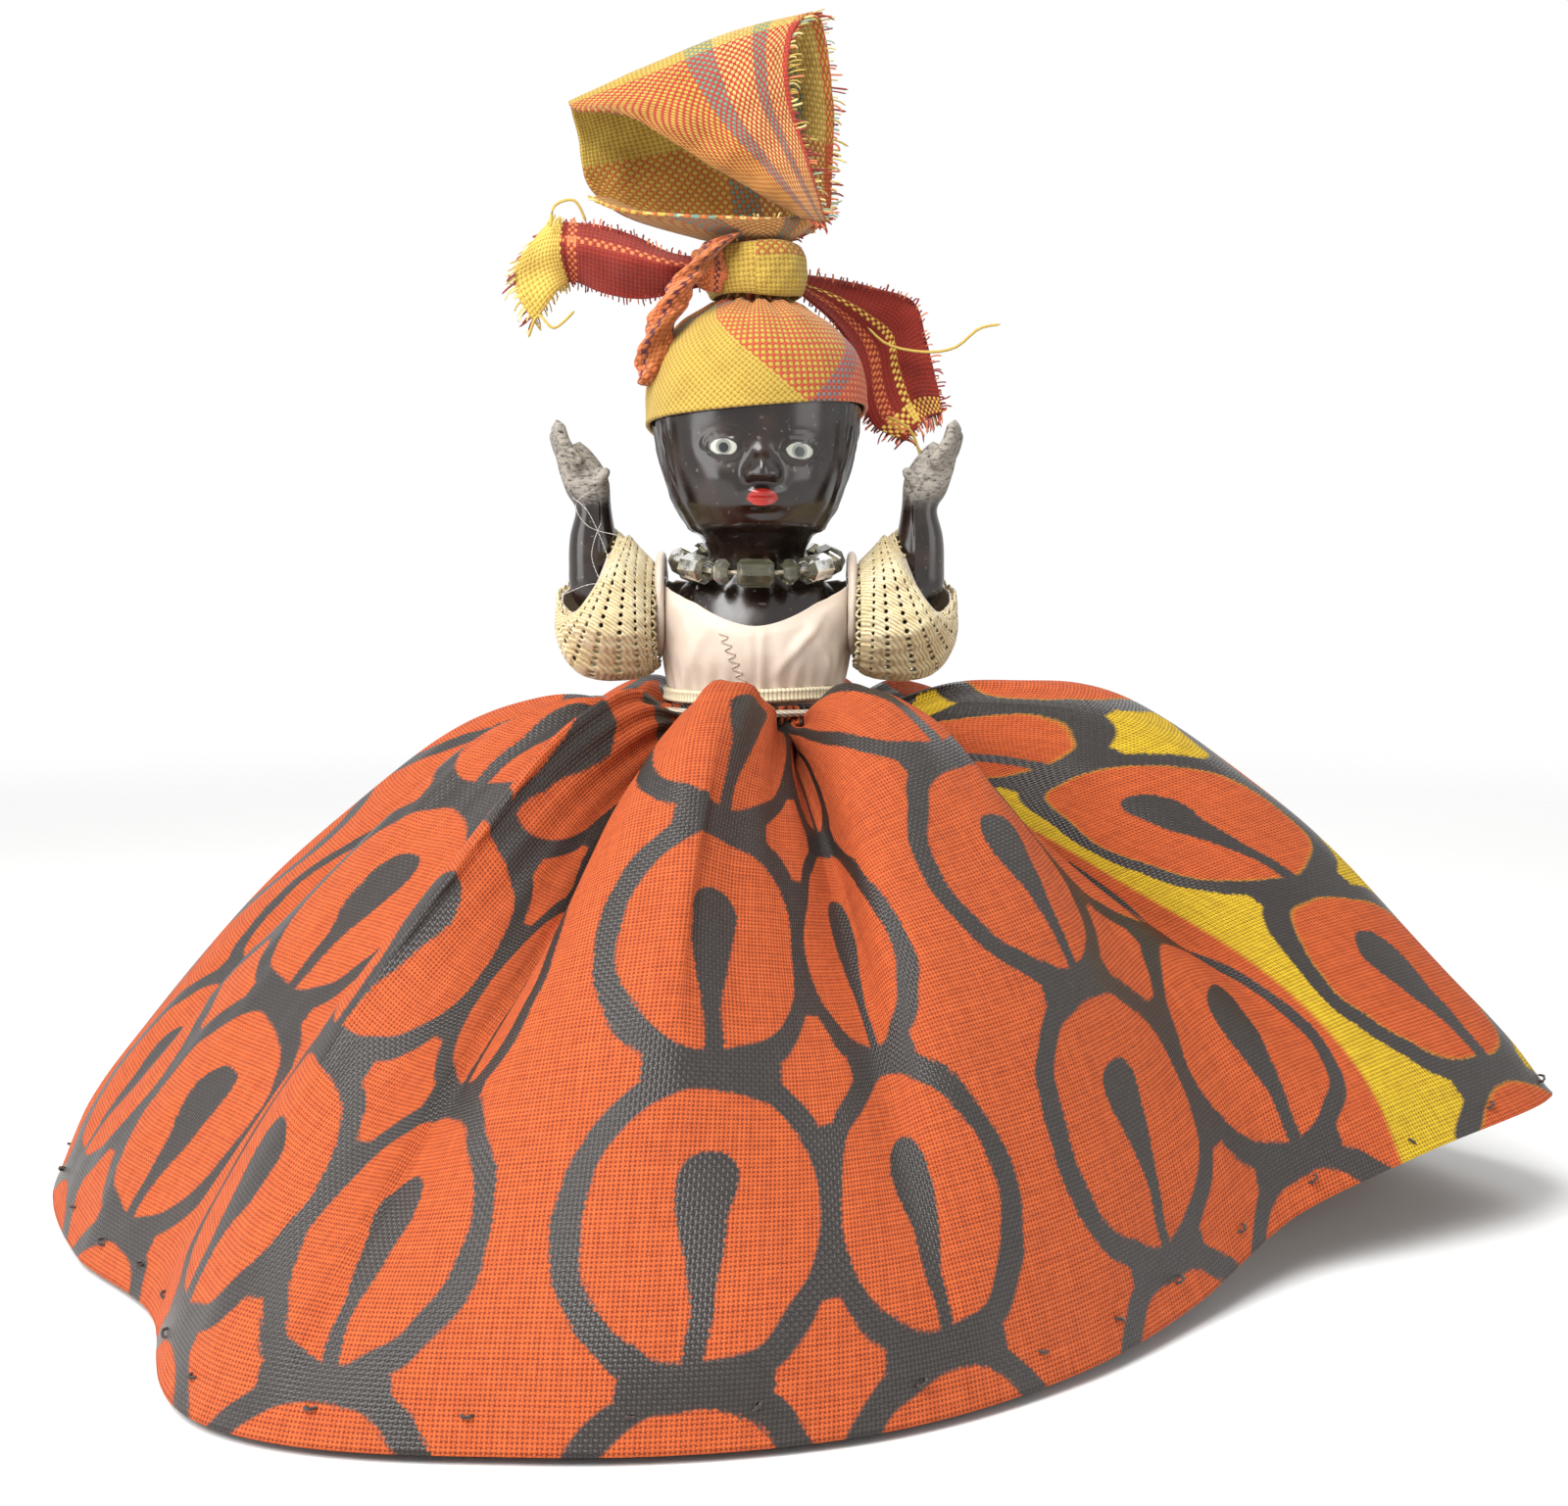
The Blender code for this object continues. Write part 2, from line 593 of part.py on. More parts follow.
def make_doll_body(finish):
    """Head, neck, torso and legs, moulded in one piece, with a bore at the shoulders for the arm elastic."""
    torso_rows = 20
    head_rows = 14
    rows = torso_rows + head_rows

    def point_at(u, v):
        step = round(v * rows)
        angle = 360 * u
        if step <= torso_rows:
            share = smooth_path(((0.0,), (0.35,), (0.72,), (0.9,), (0.98,)), step / torso_rows)[0]
            return torso_point(angle, BODY_BOTTOM + (NECK - BODY_BOTTOM) * share, 0)
        if step == torso_rows + 1:
            return around(angle, NECK_RADIUS, NECK_RADIUS, NECK_RADIUS, NECK + (CHIN - NECK) * 0.15)
        share = (step - torso_rows - 2) / (head_rows - 2)
        return head_point(angle, CHIN + HEAD_HEIGHT * 0.99 * math.sin(math.pi / 2 * share), 0)

    made = add_object("doll_body", closed_mesh("doll_body", 24, rows, point_at), finish)

    face_front = head_section(CHIN + HEAD_HEIGHT * 0.27)[1]
    nose = (0, -face_front, CHIN + HEAD_HEIGHT * 0.27)
    nose_size = (NOSE_RADIUS, NOSE_RADIUS * 0.8, NOSE_RADIUS * 0.8)
    boolean(made, add_cutter("nose_join", ball_mesh("nose_join", nose, nose_size, 10, 6)), "UNION")
    lip_height = CHIN + HEAD_HEIGHT * 0.15
    lips = (0, LIP_WIDTH * 0.055 - head_section(lip_height)[1], lip_height)
    lip_size = (LIP_WIDTH / 2, LIP_WIDTH * 0.195, LIP_WIDTH * 0.28)
    boolean(made, add_cutter("lip_join", ball_mesh("lip_join", lips, lip_size, 10, 6)), "UNION")

    reach = TORSO_WIDTH
    bore = rod_mesh("elastic_bore", (-reach, 0, SHOULDER), (reach, 0, SHOULDER), ELASTIC_RADIUS + TOUCH_GAP)
    boolean(made, add_cutter("elastic_bore", bore), "DIFFERENCE")
    return made


def shoulder_face():
    """How far from the middle an arm's flat shoulder face lies, just clear of the torso."""
    return max(torso_section(SHOULDER)[0], TORSO_WIDTH / 2) + TOUCH_GAP


def arm_path():
    """Points (outwards, towards the back, up) and radii (thick, deep) along an arm, from its shoulder."""
    bend = UPPER_ARM * 0.5
    wrist = bend + FOREARM * 0.62
    drop = ARM_RADIUS * -0.133
    hand = HAND_LENGTH
    thin = WRIST_RADIUS
    return (
        (0.0, 0.0, 0.0, ARM_RADIUS, ARM_RADIUS),
        (UPPER_ARM * 0.35, 0.0, drop, ARM_RADIUS * ARM_SWELL, ARM_RADIUS * ARM_SWELL),
        (UPPER_ARM * 0.72, 0.0, drop, ARM_RADIUS, ARM_RADIUS),
        (UPPER_ARM * 0.97, FOREARM * -0.02, bend * 0.42, ARM_RADIUS * 0.97, ARM_RADIUS * 0.97),
        (UPPER_ARM, FOREARM * -0.04, bend, ARM_RADIUS * 0.96, ARM_RADIUS * 0.96),
        (UPPER_ARM * 1.01, FOREARM * -0.065, bend + FOREARM * 0.30, ARM_RADIUS * 0.88, ARM_RADIUS * 0.88),
        (UPPER_ARM, FOREARM * -0.095, wrist, thin, thin * 1.05),
        (UPPER_ARM * 1.08, FOREARM * -0.125, wrist + hand * 0.26, thin * 1.25, thin * 0.8),
        (UPPER_ARM * 1.22, FOREARM * -0.16, wrist + hand * 0.50, thin * 1.1, thin * 0.55),
        (UPPER_ARM * 1.34, FOREARM * -0.19, wrist + hand * 0.66, thin * 0.8, thin * 0.4),
    )


def make_arm(name, side, finish):
    """An arm bent at the elbow with its hand up. side is -1 for the doll's right and 1 for its left."""
    path = arm_path()
    start = Vector((side * shoulder_face(), 0, SHOULDER))
    sections = 22

    def middle_at(share):
        out, back, up, thick, deep = smooth_path(path, share)
        return Vector((side * out, back, up)), thick, deep

    def point_at(u, v):
        middle, thick, deep = middle_at(v)
        ahead = middle_at(min(v + 0.01, 1.0))[0] - middle_at(max(v - 0.01, 0.0))[0]
        if v < 0.02:
            ahead = Vector((side, 0, 0))
        ahead.normalize()
        sideways = Vector((0, 1, 0))
        across = sideways.cross(ahead).normalized()
        turn = 2 * math.pi * u
        return start + middle + across * thick * math.cos(turn) + sideways * deep * math.sin(turn)

    made = add_object(name, closed_mesh(name, 14, sections, point_at), finish)

    wrist = start + Vector((side * UPPER_ARM, HAND_LENGTH * -0.16, path[6][2]))
    palm = wrist + Vector((side * UPPER_ARM * 0.22, 0, HAND_LENGTH * 0.48))
    for finger in range(4):
        place = finger - 1.5
        spread = place * FINGER_RADIUS * 1.5
        root = palm + Vector((side * spread * 0.5, spread * 1.1, spread * -0.3))
        rise = HAND_LENGTH * (0.50 - 0.05 * abs(place))
        tip = root + Vector((side * HAND_LENGTH * 0.26, spread * 0.3 - HAND_LENGTH * 0.06, rise))
        rod_name = f"{name}_finger_{finger}"
        rod = rod_mesh(rod_name, root, tip, FINGER_RADIUS * 1.25, FINGER_RADIUS * 0.85, segments=8)
        boolean(made, add_cutter(rod_name, rod), "UNION")
    thumb_root = wrist + Vector((side * UPPER_ARM * 0.02, 0, HAND_LENGTH * 0.16))
    thumb_tip = thumb_root + Vector((side * -0.20, -0.12, 0.30)) * HAND_LENGTH
    thumb = rod_mesh(f"{name}_thumb", thumb_root, thumb_tip, FINGER_RADIUS * 1.5, FINGER_RADIUS, segments=8)
    boolean(made, add_cutter(f"{name}_thumb", thumb), "UNION")

    bore_start = start - Vector((side * ELASTIC_END * 0.67, 0, 0))
    bore_end = start + Vector((side * (ELASTIC_END + TOUCH_GAP), 0, 0))
    bore = rod_mesh(f"{name}_bore", bore_start, bore_end, ELASTIC_RADIUS + TOUCH_GAP)
    boolean(made, add_cutter(f"{name}_bore", bore), "DIFFERENCE")
    return made


def armhole_radius():
    """Radius of the blouse's armholes, clear of the arm."""
    return ARM_RADIUS * ARM_SWELL + ARMHOLE_EASE


def trim_middle():
    """How far from the doll's middle the rolled trim round each armhole lies."""
    return shoulder_face() + TOUCH_GAP / 3 + TRIM_WIDTH / 2


def make_arm_elastic(finish):
    """The elastic that strings both arms to the body, straight through the shoulders."""
    reach = shoulder_face() + ELASTIC_END
    curve = bpy.data.curves.new("arm_elastic", "CURVE")
    curve.dimensions = "3D"
    curve.bevel_depth = ELASTIC_RADIUS
    curve.bevel_resolution = 2
    curve.use_fill_caps = True
    spline = curve.splines.new("POLY")
    points = 9
    spline.points.add(points - 1)
    for i, point in enumerate(spline.points):
        point.co = (reach * (2 * i / (points - 1) - 1), 0, SHOULDER, 1)
    curve.materials.append(finish)
    made = bpy.data.objects.new("arm_elastic", curve)
    parts.objects.link(made)
    return made


def make_blouse(finish):
    """The blouse: a fitted sheet round the torso with a scooped neckline and two armholes."""
    bottom = WAIST - BLOUSE_BELOW_WAIST
    top = SHOULDER + (NECK - SHOULDER) * 0.42

    def point_at(u, v):
        angle = 360 * u - 180
        turn = math.radians(angle)
        front = max(math.cos(turn), 0.0) ** 2
        back = max(-math.cos(turn), 0.0) ** 2 * 0.35
        scoop = (front + back) * NECKLINE_DROP
        height = bottom + (top - scoop - bottom) * v
        return torso_point(angle, height, BLOUSE_OFFSET)

    made = add_object("blouse", grid_mesh("blouse", 28, 10, point_at, wrapped=True), finish)
    solidify(made, CLOTH)
    reach = TORSO_WIDTH
    start = (-reach, 0, SHOULDER)
    end = (reach, 0, SHOULDER)
    armholes = rod_mesh("armholes", start, end, armhole_radius(), segments=20)
    boolean(made, add_cutter("armholes", armholes), "DIFFERENCE")

    def trim_at(angle):
        turn = math.radians(angle)
        return Vector((math.sin(turn), -math.cos(turn), 0)) * (armhole_radius() + TRIM_HEIGHT / 2)

    for side in (-1, 1):
        name = "right_trim" if side < 0 else "left_trim"
        trim = ring_mesh(name, trim_at, TRIM_WIDTH / 2, TRIM_HEIGHT / 2, columns=24)
        placed = Matrix.Translation((side * trim_middle(), 0, SHOULDER))
        trim.transform(placed @ Matrix.Rotation(math.pi / 2, 4, "Y"))
        boolean(made, add_cutter(name, trim), "UNION")
    return made


def make_sleeve(name, side, finish):
    """A lace sleeve round the elbow: a puffed tube from the armhole to the rim round the forearm."""
    start = trim_middle() + TRIM_WIDTH / 2 + TOUCH_GAP
    elbow = shoulder_face() + UPPER_ARM
    sag = SLEEVE_RADIUS * -0.1
    rim = SLEEVE_RIM_RADIUS
    # Outwards, up from the shoulder, half height, half depth, and the tilt of the ring's plane in degrees
    rings = (
        (start, SLEEVE_RADIUS * -0.075, SLEEVE_RADIUS * 0.86, SLEEVE_RADIUS * 0.86, 0),
        (start + SLEEVE_LENGTH * 0.18, sag, SLEEVE_RADIUS * 1.04, SLEEVE_RADIUS * 1.0, 8),
        (start + SLEEVE_LENGTH * 0.42, sag, SLEEVE_RADIUS * 1.02, SLEEVE_RADIUS * 1.02, 26),
        (elbow - SLEEVE_LENGTH * 0.12, SLEEVE_RADIUS * 0.05, SLEEVE_RADIUS * 0.92, SLEEVE_RADIUS * 0.95, 46),
        (elbow - SLEEVE_LENGTH * 0.05, SLEEVE_RADIUS * 0.275, rim, rim * 1.05, 60),
    )

    def point_at(u, v):
        out, up, tall, deep, tilt = smooth_path(rings, v if side > 0 else 1 - v)
        turn = 2 * math.pi * u
        lean = math.radians(tilt)
        rise = tall * math.cos(turn)
        return Vector((
            side * (out - rise * math.sin(lean)), deep * math.sin(turn), SHOULDER + up + rise * math.cos(lean)
        ))

    made = add_object(name, grid_mesh(name, 24, 10, point_at, wrapped=True), finish)
    solidify(made, CLOTH, offset=1.0)
    return made


def necklace_radius():
    """Radius of the necklace's thread, so that its beads just clear the trims of the armholes."""
    return trim_middle() - TRIM_WIDTH / 2 - NECKLACE_EASE - BEAD_RADIUS


def bead_lengths():
    """Lengths of a long and a short bead, which leave room for the turn from each bead to the next."""
    turn = math.pi / BEAD_PAIRS
    room = 2 * turn * (necklace_radius() - BEAD_RADIUS)
    return room * LONG_BEAD_SHARE, room * (1 - LONG_BEAD_SHARE)


def make_necklace(thread_finish, bead_finish):
    """A thread with long and short glass beads by turns, lying round the neck."""
    height = WAIST + NECKLACE_ABOVE_WAIST
    placed = Matrix.Translation((0, 0, height)) @ Matrix.Rotation(math.radians(NECKLACE_TILT), 4, "X")
    radius = necklace_radius()

    def on_ring(angle):
        turn = math.radians(angle)
        return Vector((radius * math.sin(turn), -radius * math.cos(turn), 0))

    mesh = ring_mesh("necklace_thread", on_ring, THREAD_RADIUS, THREAD_RADIUS, columns=28)
    mesh.transform(placed)
    add_object("necklace_thread", mesh, thread_finish)

    long_bead, short_bead = bead_lengths()
    step = 180 / BEAD_PAIRS
    for index in range(BEAD_PAIRS * 2):
        is_long = index % 2 == 0
        length = long_bead if is_long else short_bead
        thickness = BEAD_RADIUS if is_long else SHORT_BEAD_RADIUS
        name = f"necklace_bead_{index + 1:02d}"
        turn = math.radians(step * index)
        along = Vector((math.cos(turn), math.sin(turn), 0))
        middle = on_ring(step * index)
        bead = rod_mesh(name, middle - along * length / 2, middle + along * length / 2, thickness, segments=8)
        hole_name = f"{name}_hole"
        start = middle - along * length
        end = middle + along * length
        hole = rod_mesh(hole_name, start, end, BEAD_HOLE_RADIUS, segments=10)
        bead.transform(placed)
        hole.transform(placed)
        made = add_object(name, bead, bead_finish)
        boolean(made, add_cutter(hole_name, hole), "DIFFERENCE")


def gather_origin():
    """The foot of the gathered cloth on the crown."""
    return Vector((0, 0, GATHER_BOTTOM))


def make_headcloth(finish):
    """The headcloth: stretched over the head, gathered at the crown, and folded into a tall flap above it."""
    top = CROWN - HEAD_HEIGHT * 0.025

    def point_at(u, v):
        angle = 360 * u - 180
        forward = (1 + math.cos(math.radians(angle))) / 2
        rim = CHIN + HEAD_HEIGHT * (CAP_RIM_BACK + (CAP_RIM_FRONT - CAP_RIM_BACK) * forward)
        height = rim + (top - rim) * math.sin(math.pi / 2 * v)
        return head_point(angle, height, CAP_OFFSET)

    made = add_object("headcloth", grid_mesh("headcloth", 32, 9, point_at, wrapped=True), finish)
    solidify(made, CLOTH)

    origin = gather_origin()
    gather_top = origin + Vector((0, 0, GATHER_HEIGHT))
    gather = rod_mesh("gather", origin, gather_top, GATHER_RADIUS, GATHER_RADIUS * 0.9, segments=20)
    boolean(made, add_cutter("gather", gather), "UNION")
    for name, cage, columns, rows in (("flap", FLAP_CAGE, 8, 22), ("lip", LIP_CAGE, 14, 5)):
        sheet = add_cutter(name, sheet_mesh(name, cage, GATHER_HEIGHT, origin, columns, rows))
        solidify(sheet, CLOTH, offset=0.0)
        boolean(made, sheet, "UNION")
    return made


def make_head_tie(finish):
    """The strip of cloth wound round the gather, with its knot and its two tails."""
    origin = gather_origin()
    radius = GATHER_RADIUS + TOUCH_GAP + TIE_THICKNESS / 2
    middle = TOUCH_GAP * 2 + TIE_HEIGHT / 2

    def centre_at(angle):
        turn = math.radians(angle)
        return origin + Vector((radius * math.sin(turn), -radius * math.cos(turn), middle))

    mesh = ring_mesh("head_tie", centre_at, TIE_HEIGHT / 2, TIE_THICKNESS / 2, columns=24)
    made = add_object("head_tie", mesh, finish)
    outwards = Vector((centre_at(-52).x, centre_at(-52).y, 0)).normalized()
    knot_centre = centre_at(-52) + outwards * TIE_KNOT * 0.34
    knot_size = (TIE_KNOT * 0.5, TIE_KNOT * 0.36, TIE_HEIGHT * 0.48)
    boolean(made, add_cutter("knot", ball_mesh("knot", knot_centre, knot_size, 12, 8)), "UNION")
    for name, side, cage in (("right_tail", -1, RIGHT_TAIL_CAGE), ("left_tail", 1, LEFT_TAIL_CAGE)):
        root = origin + Vector((side * radius, 0, 0))
        sheet = add_cutter(name, sheet_mesh(name, cage, TIE_HEIGHT, root, 4, 13))
        solidify(sheet, CLOTH, offset=0.0)
        boolean(made, sheet, "UNION")
    return made


def main():
    clear_scene()
    card = material("card", (0.55, 0.45, 0.33), 0.9)
    muslin = material("muslin", (0.80, 0.76, 0.68), 0.9)
    print_cotton = material("print_cotton", (0.80, 0.17, 0.03), 0.8)
    thread = material("thread", (0.75, 0.70, 0.60), 0.7)
    plastic = material("plastic", (0.018, 0.010, 0.008), 0.25)
    nylon = material("nylon", (0.85, 0.74, 0.67), 0.5)
    lace = material("lace", (0.80, 0.70, 0.42), 0.8)
    band = material("band", (0.72, 0.70, 0.50), 0.6)
    glass = material("glass_bead", (0.30, 0.28, 0.18), 0.1)
    madras = material("madras", (0.85, 0.55, 0.08), 0.85)

    make_base_card(card)
    make_cushion(muslin)
    make_skirt(print_cotton)
    make_gathering_thread(thread)
    make_doll_body(plastic)
    make_arm("right_arm", -1, plastic)
    make_arm("left_arm", 1, plastic)
    make_arm_elastic(thread)
    make_blouse(nylon)
    make_waist_band(band)
    make_sleeve("right_sleeve", -1, lace)
    make_sleeve("left_sleeve", 1, lace)
    make_necklace(thread, glass)
    make_headcloth(madras)
    make_head_tie(madras)


main()
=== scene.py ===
"""Looks of the pincushion doll: cloth, lace, beads, plastic and the stage, built round the fixed frame.

Metres, +Z up. The doll faces -Y and stands over the origin. Angles round the doll are in degrees from
the front and grow towards +X, the doll's own left. Cloth UV maps are in millimetres of flat cloth.
"""

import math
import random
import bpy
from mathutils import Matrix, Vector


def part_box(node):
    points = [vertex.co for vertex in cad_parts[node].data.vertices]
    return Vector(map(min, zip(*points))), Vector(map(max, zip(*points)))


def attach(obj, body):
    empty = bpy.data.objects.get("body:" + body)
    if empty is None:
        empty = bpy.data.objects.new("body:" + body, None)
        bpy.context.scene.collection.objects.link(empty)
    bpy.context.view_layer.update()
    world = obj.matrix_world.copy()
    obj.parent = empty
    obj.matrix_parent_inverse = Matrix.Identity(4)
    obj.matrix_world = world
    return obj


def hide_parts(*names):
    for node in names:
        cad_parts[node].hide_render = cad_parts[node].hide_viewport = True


bl_info = {
    "name": "Pincushion Doll",
    "version": (1, 0, 0),
    "blender": (4, 5, 0),
    "location": "View3D > Sidebar > Doll",
    "description": "Dresses a pincushion doll: print skirt, lace sleeves, beads and tied headcloth",
    "category": "Object",
}

from collections import namedtuple

import bmesh
import bpy
from bpy.props import FloatProperty, FloatVectorProperty, IntProperty, PointerProperty
from mathutils import Matrix, Vector, noise

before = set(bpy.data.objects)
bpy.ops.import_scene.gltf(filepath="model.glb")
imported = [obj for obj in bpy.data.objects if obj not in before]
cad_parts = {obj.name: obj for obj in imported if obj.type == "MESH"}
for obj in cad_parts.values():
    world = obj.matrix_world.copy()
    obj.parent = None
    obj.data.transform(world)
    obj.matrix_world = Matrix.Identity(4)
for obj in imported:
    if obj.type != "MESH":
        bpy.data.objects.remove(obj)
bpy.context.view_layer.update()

MM = 0.001
# Vertices nearer to each other than this are joined
JOIN = 1e-6

# The frame's own sizes, from its solids
CUSHION_BOTTOM, CUSHION_TOP = (corner.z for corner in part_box("cushion"))
CUSHION_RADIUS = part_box("cushion")[1].x
CUSHION_HEIGHT = 0.0448
CUSHION_POWER = 1.8
CLOTH = 0.0007
TOUCH_GAP = 0.0003
SKIRT_EASE = 0.0010
WAIST = 0.0578
SHOULDER = WAIST + 0.0111
NECK = WAIST + 0.0160
CHIN = WAIST + 0.0186
HEAD_HEIGHT = 0.0257
CROWN = CHIN + HEAD_HEIGHT
BODY_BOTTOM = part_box("doll_body")[0].z
TORSO_WIDTH = 0.0196
TORSO_DEPTH = 0.0150
NECK_RADIUS = 0.0054
HEAD_WIDTH = 0.0224
HEAD_DEPTH = 0.0232
BLOUSE_OFFSET = 0.0010
CAP_OFFSET = 0.0010
BLOUSE_BOTTOM = WAIST - 0.0040
NECKLINE_DROP = 0.0042
SHOULDER_FACE = TORSO_WIDTH / 2 + TOUCH_GAP
ARM_RADIUS = 0.0030
WRIST_RADIUS = 0.0020
UPPER_ARM = 0.0082
FOREARM = 0.0105
HAND_LENGTH = 0.0100
FINGER_RADIUS = 0.00055
BORE_RADIUS = 0.0009
ARMHOLE_RADIUS = ARM_RADIUS * 1.08 + 0.0008
TRIM_WIDTH = 0.0011
TRIM_HEIGHT = 0.0018
TRIM_MIDDLE = SHOULDER_FACE + TOUCH_GAP / 3 + TRIM_WIDTH / 2
SLEEVE_RADIUS = 0.0080
SLEEVE_LENGTH = 0.0108
SLEEVE_RIM_RADIUS = 0.0056
BAND_HEIGHT = 0.0015
BAND_THICKNESS = 0.0005
NECKLACE_RADIUS = 0.0084
NECKLACE_HEIGHT = WAIST + 0.0157
NECKLACE_TILT = 8
BEAD_RADIUS = 0.0016
BEAD_HOLE_RADIUS = 0.00085
LONG_BEAD = 0.0041
SHORT_BEAD = 0.0020
BEAD_PAIRS = 7
GATHER_FOOT = CROWN + TOUCH_GAP / 3
GATHER_RADIUS = 0.0040
GATHER_HEIGHT = 0.0072
TIE_HEIGHT = 0.0058
TIE_THICKNESS = 0.0012
TIE_KNOT = 0.0044
TIE_RADIUS = GATHER_RADIUS + TOUCH_GAP + TIE_THICKNESS / 2

# Camera at the photograph's angle
CAMERA_PLACE = (0.0031, -0.250, 0.075)
CAMERA_TILT = 84.7
CAMERA_LENS = 50.6
CAMERA_SENSOR = 36.0

# Shares of the torso: height from the foot (0) to the neck (1), half width, front and back depth
TORSO_SHAPE = (
    (0.00, 0.40, 0.46, 0.48), (0.05, 0.56, 0.62, 0.64), (0.25, 0.68, 0.78, 0.80), (0.50, 0.84, 0.92, 0.98),
    (0.64, 0.94, 0.94, 0.98), (0.74, 0.88, 0.92, 0.84), (0.775, 0.86, 0.94, 0.80), (0.84, 0.94, 1.10, 0.82),
    (0.89, 1.00, 1.06, 0.86), (0.932, 0.98, 0.90, 0.84), (0.960, 0.82, 0.76, 0.76), (0.980, 0.62, 0.66, 0.68),
)
# Shares of the head: height from the chin (0) to the crown (1), half width, front and back depth
HEAD_SHAPE = (
    (0.00, 0.57, 0.62, 0.50), (0.04, 0.66, 0.80, 0.60), (0.13, 0.79, 0.93, 0.74), (0.25, 0.89, 0.98, 0.87),
    (0.37, 0.965, 1.00, 0.95), (0.50, 1.01, 1.00, 1.00), (0.64, 1.005, 0.985, 1.00), (0.78, 0.91, 0.88, 0.90),
    (0.89, 0.69, 0.67, 0.69), (0.96, 0.42, 0.41, 0.42), (0.99, 0.20, 0.20, 0.20),
)

# Skirt profiles from waist to hem, as shares of the way out to the hem and of the waist's height
CREST_PROFILE = (
    (0.00, 1.00), (0.00, 0.955), (0.06, 1.02), (0.14, 1.06), (0.24, 1.02),
    (0.36, 0.93), (0.52, 0.76), (0.68, 0.575), (0.84, 0.34), (0.94, 0.165), (1.00, 0.00),
)
VALLEY_PROFILE = (
    (0.00, 1.00), (0.00, 0.955), (0.025, 0.90), (0.06, 0.83), (0.13, 0.76),
    (0.27, 0.65), (0.44, 0.48), (0.62, 0.32), (0.81, 0.16), (0.91, 0.08), (1.00, 0.00),
)
# Hem at some angles round the doll: how far it reaches past the cushion, and how high it lifts off the table
HEM = (
    (-175, 0.030, 0.0000), (-140, 0.033, 0.0000), (-100, 0.034, 0.0010), (-70, 0.025, 0.0000),
    (-54, 0.022, 0.0000), (-34, 0.033, 0.0000), (-14, 0.028, 0.0000), (8, 0.022, 0.0000),
    (28, 0.015, 0.0004), (46, 0.011, 0.0018), (62, 0.013, 0.0060), (74, 0.025, 0.0105),
    (86, 0.040, 0.0130), (104, 0.034, 0.0080), (130, 0.028, 0.0020), (158, 0.028, 0.0000),
)
# Folds round the skirt, from one valley to the next: the valley's angle at the waist, halfway and at the hem,
# its depth there, how far its walls lean over, the extra height of its crest, and how sharp the crest is
Fold = namedtuple("Fold", "top mid hem deep_top deep_mid deep_hem tilt crest sharp")
FOLDS = (
    Fold(-162, -158, -156, 0.95, 0.55, 0.06, 0, 0.00, 1.0),
    Fold(-124, -122, -122, 0.95, 0.60, 0.08, 0, 0.02, 1.0),
    Fold(-88, -84, -82, 0.85, 0.35, 0.10, 0, 0.00, 0.9),
    Fold(-60, -46, -57, 0.50, 0.24, 0.20, 0, 0.00, 0.9),
    Fold(-42, -28, -28, 1.00, 0.60, 0.06, -4, 0.06, 0.9),
    Fold(25, 15, 17, 1.00, 0.55, 0.02, -8, 0.10, 0.6),
    Fold(57, 76, 69, 1.00, 0.80, 0.28, -7, 0.38, 1.0),
    Fold(104, 118, 118, 0.85, 0.45, 0.08, 0, 0.06, 1.0),
    Fold(134, 140, 142, 0.95, 0.60, 0.06, 0, 0.04, 1.0),
    Fold(166, 170, 172, 0.95, 0.55, 0.06, 0, 0.00, 1.0),
)
CREASE_TOP = 0.62
CREASE_HEM = 1.5
BULGE_PLACE = 1.4
SIDE_CREST_DROP = 0.055
HEM_CLEARANCE = 0.0002

# Sheets of the headcloth above its gather, as rows of points (across, towards the back, above the gather's foot)
FLAP_CAGE = (
    ((-0.0026, 0.0010, 0.0066), (-0.0010, 0.0016, 0.0066), (0.0010, 0.0016, 0.0066), (0.0026, 0.0010, 0.0066)),
    ((-0.0140, 0.0036, 0.0100), (-0.0060, 0.0052, 0.0088), (0.0030, 0.0050, 0.0088), (0.0078, 0.0030, 0.0098)),
    ((-0.0188, 0.0040, 0.0134), (-0.0080, 0.0066, 0.0150), (0.0024, 0.0058, 0.0160), (0.0084, 0.0034, 0.0150)),
    ((-0.0200, 0.0030, 0.0186), (-0.0100, 0.0054, 0.0216), (0.0014, 0.0050, 0.0240), (0.0086, 0.0030, 0.0228)),
    ((-0.0206, 0.0006, 0.0220), (-0.0120, 0.0012, 0.0260), (-0.0020, 0.0014, 0.0298), (0.0070, 0.0014, 0.0316)),
    ((-0.0198, -0.0022, 0.0208), (-0.0110, -0.0030, 0.0232), (-0.0020, -0.0028, 0.0266),
     (0.0040, -0.0018, 0.0288)),
    ((-0.0140, -0.0040, 0.0198), (-0.0070, -0.0050, 0.0192), (-0.0006, -0.0046, 0.0206),
     (0.0038, -0.0034, 0.0218)),
    ((-0.0052, -0.0048, 0.0146), (-0.0010, -0.0054, 0.0142), (0.0028, -0.0052, 0.0146), (0.0058, -0.0044, 0.0150)),
    ((0.0052, -0.0048, 0.0088), (0.0060, -0.0050, 0.0086), (0.0068, -0.0050, 0.0084), (0.0076, -0.0046, 0.0084)),
)
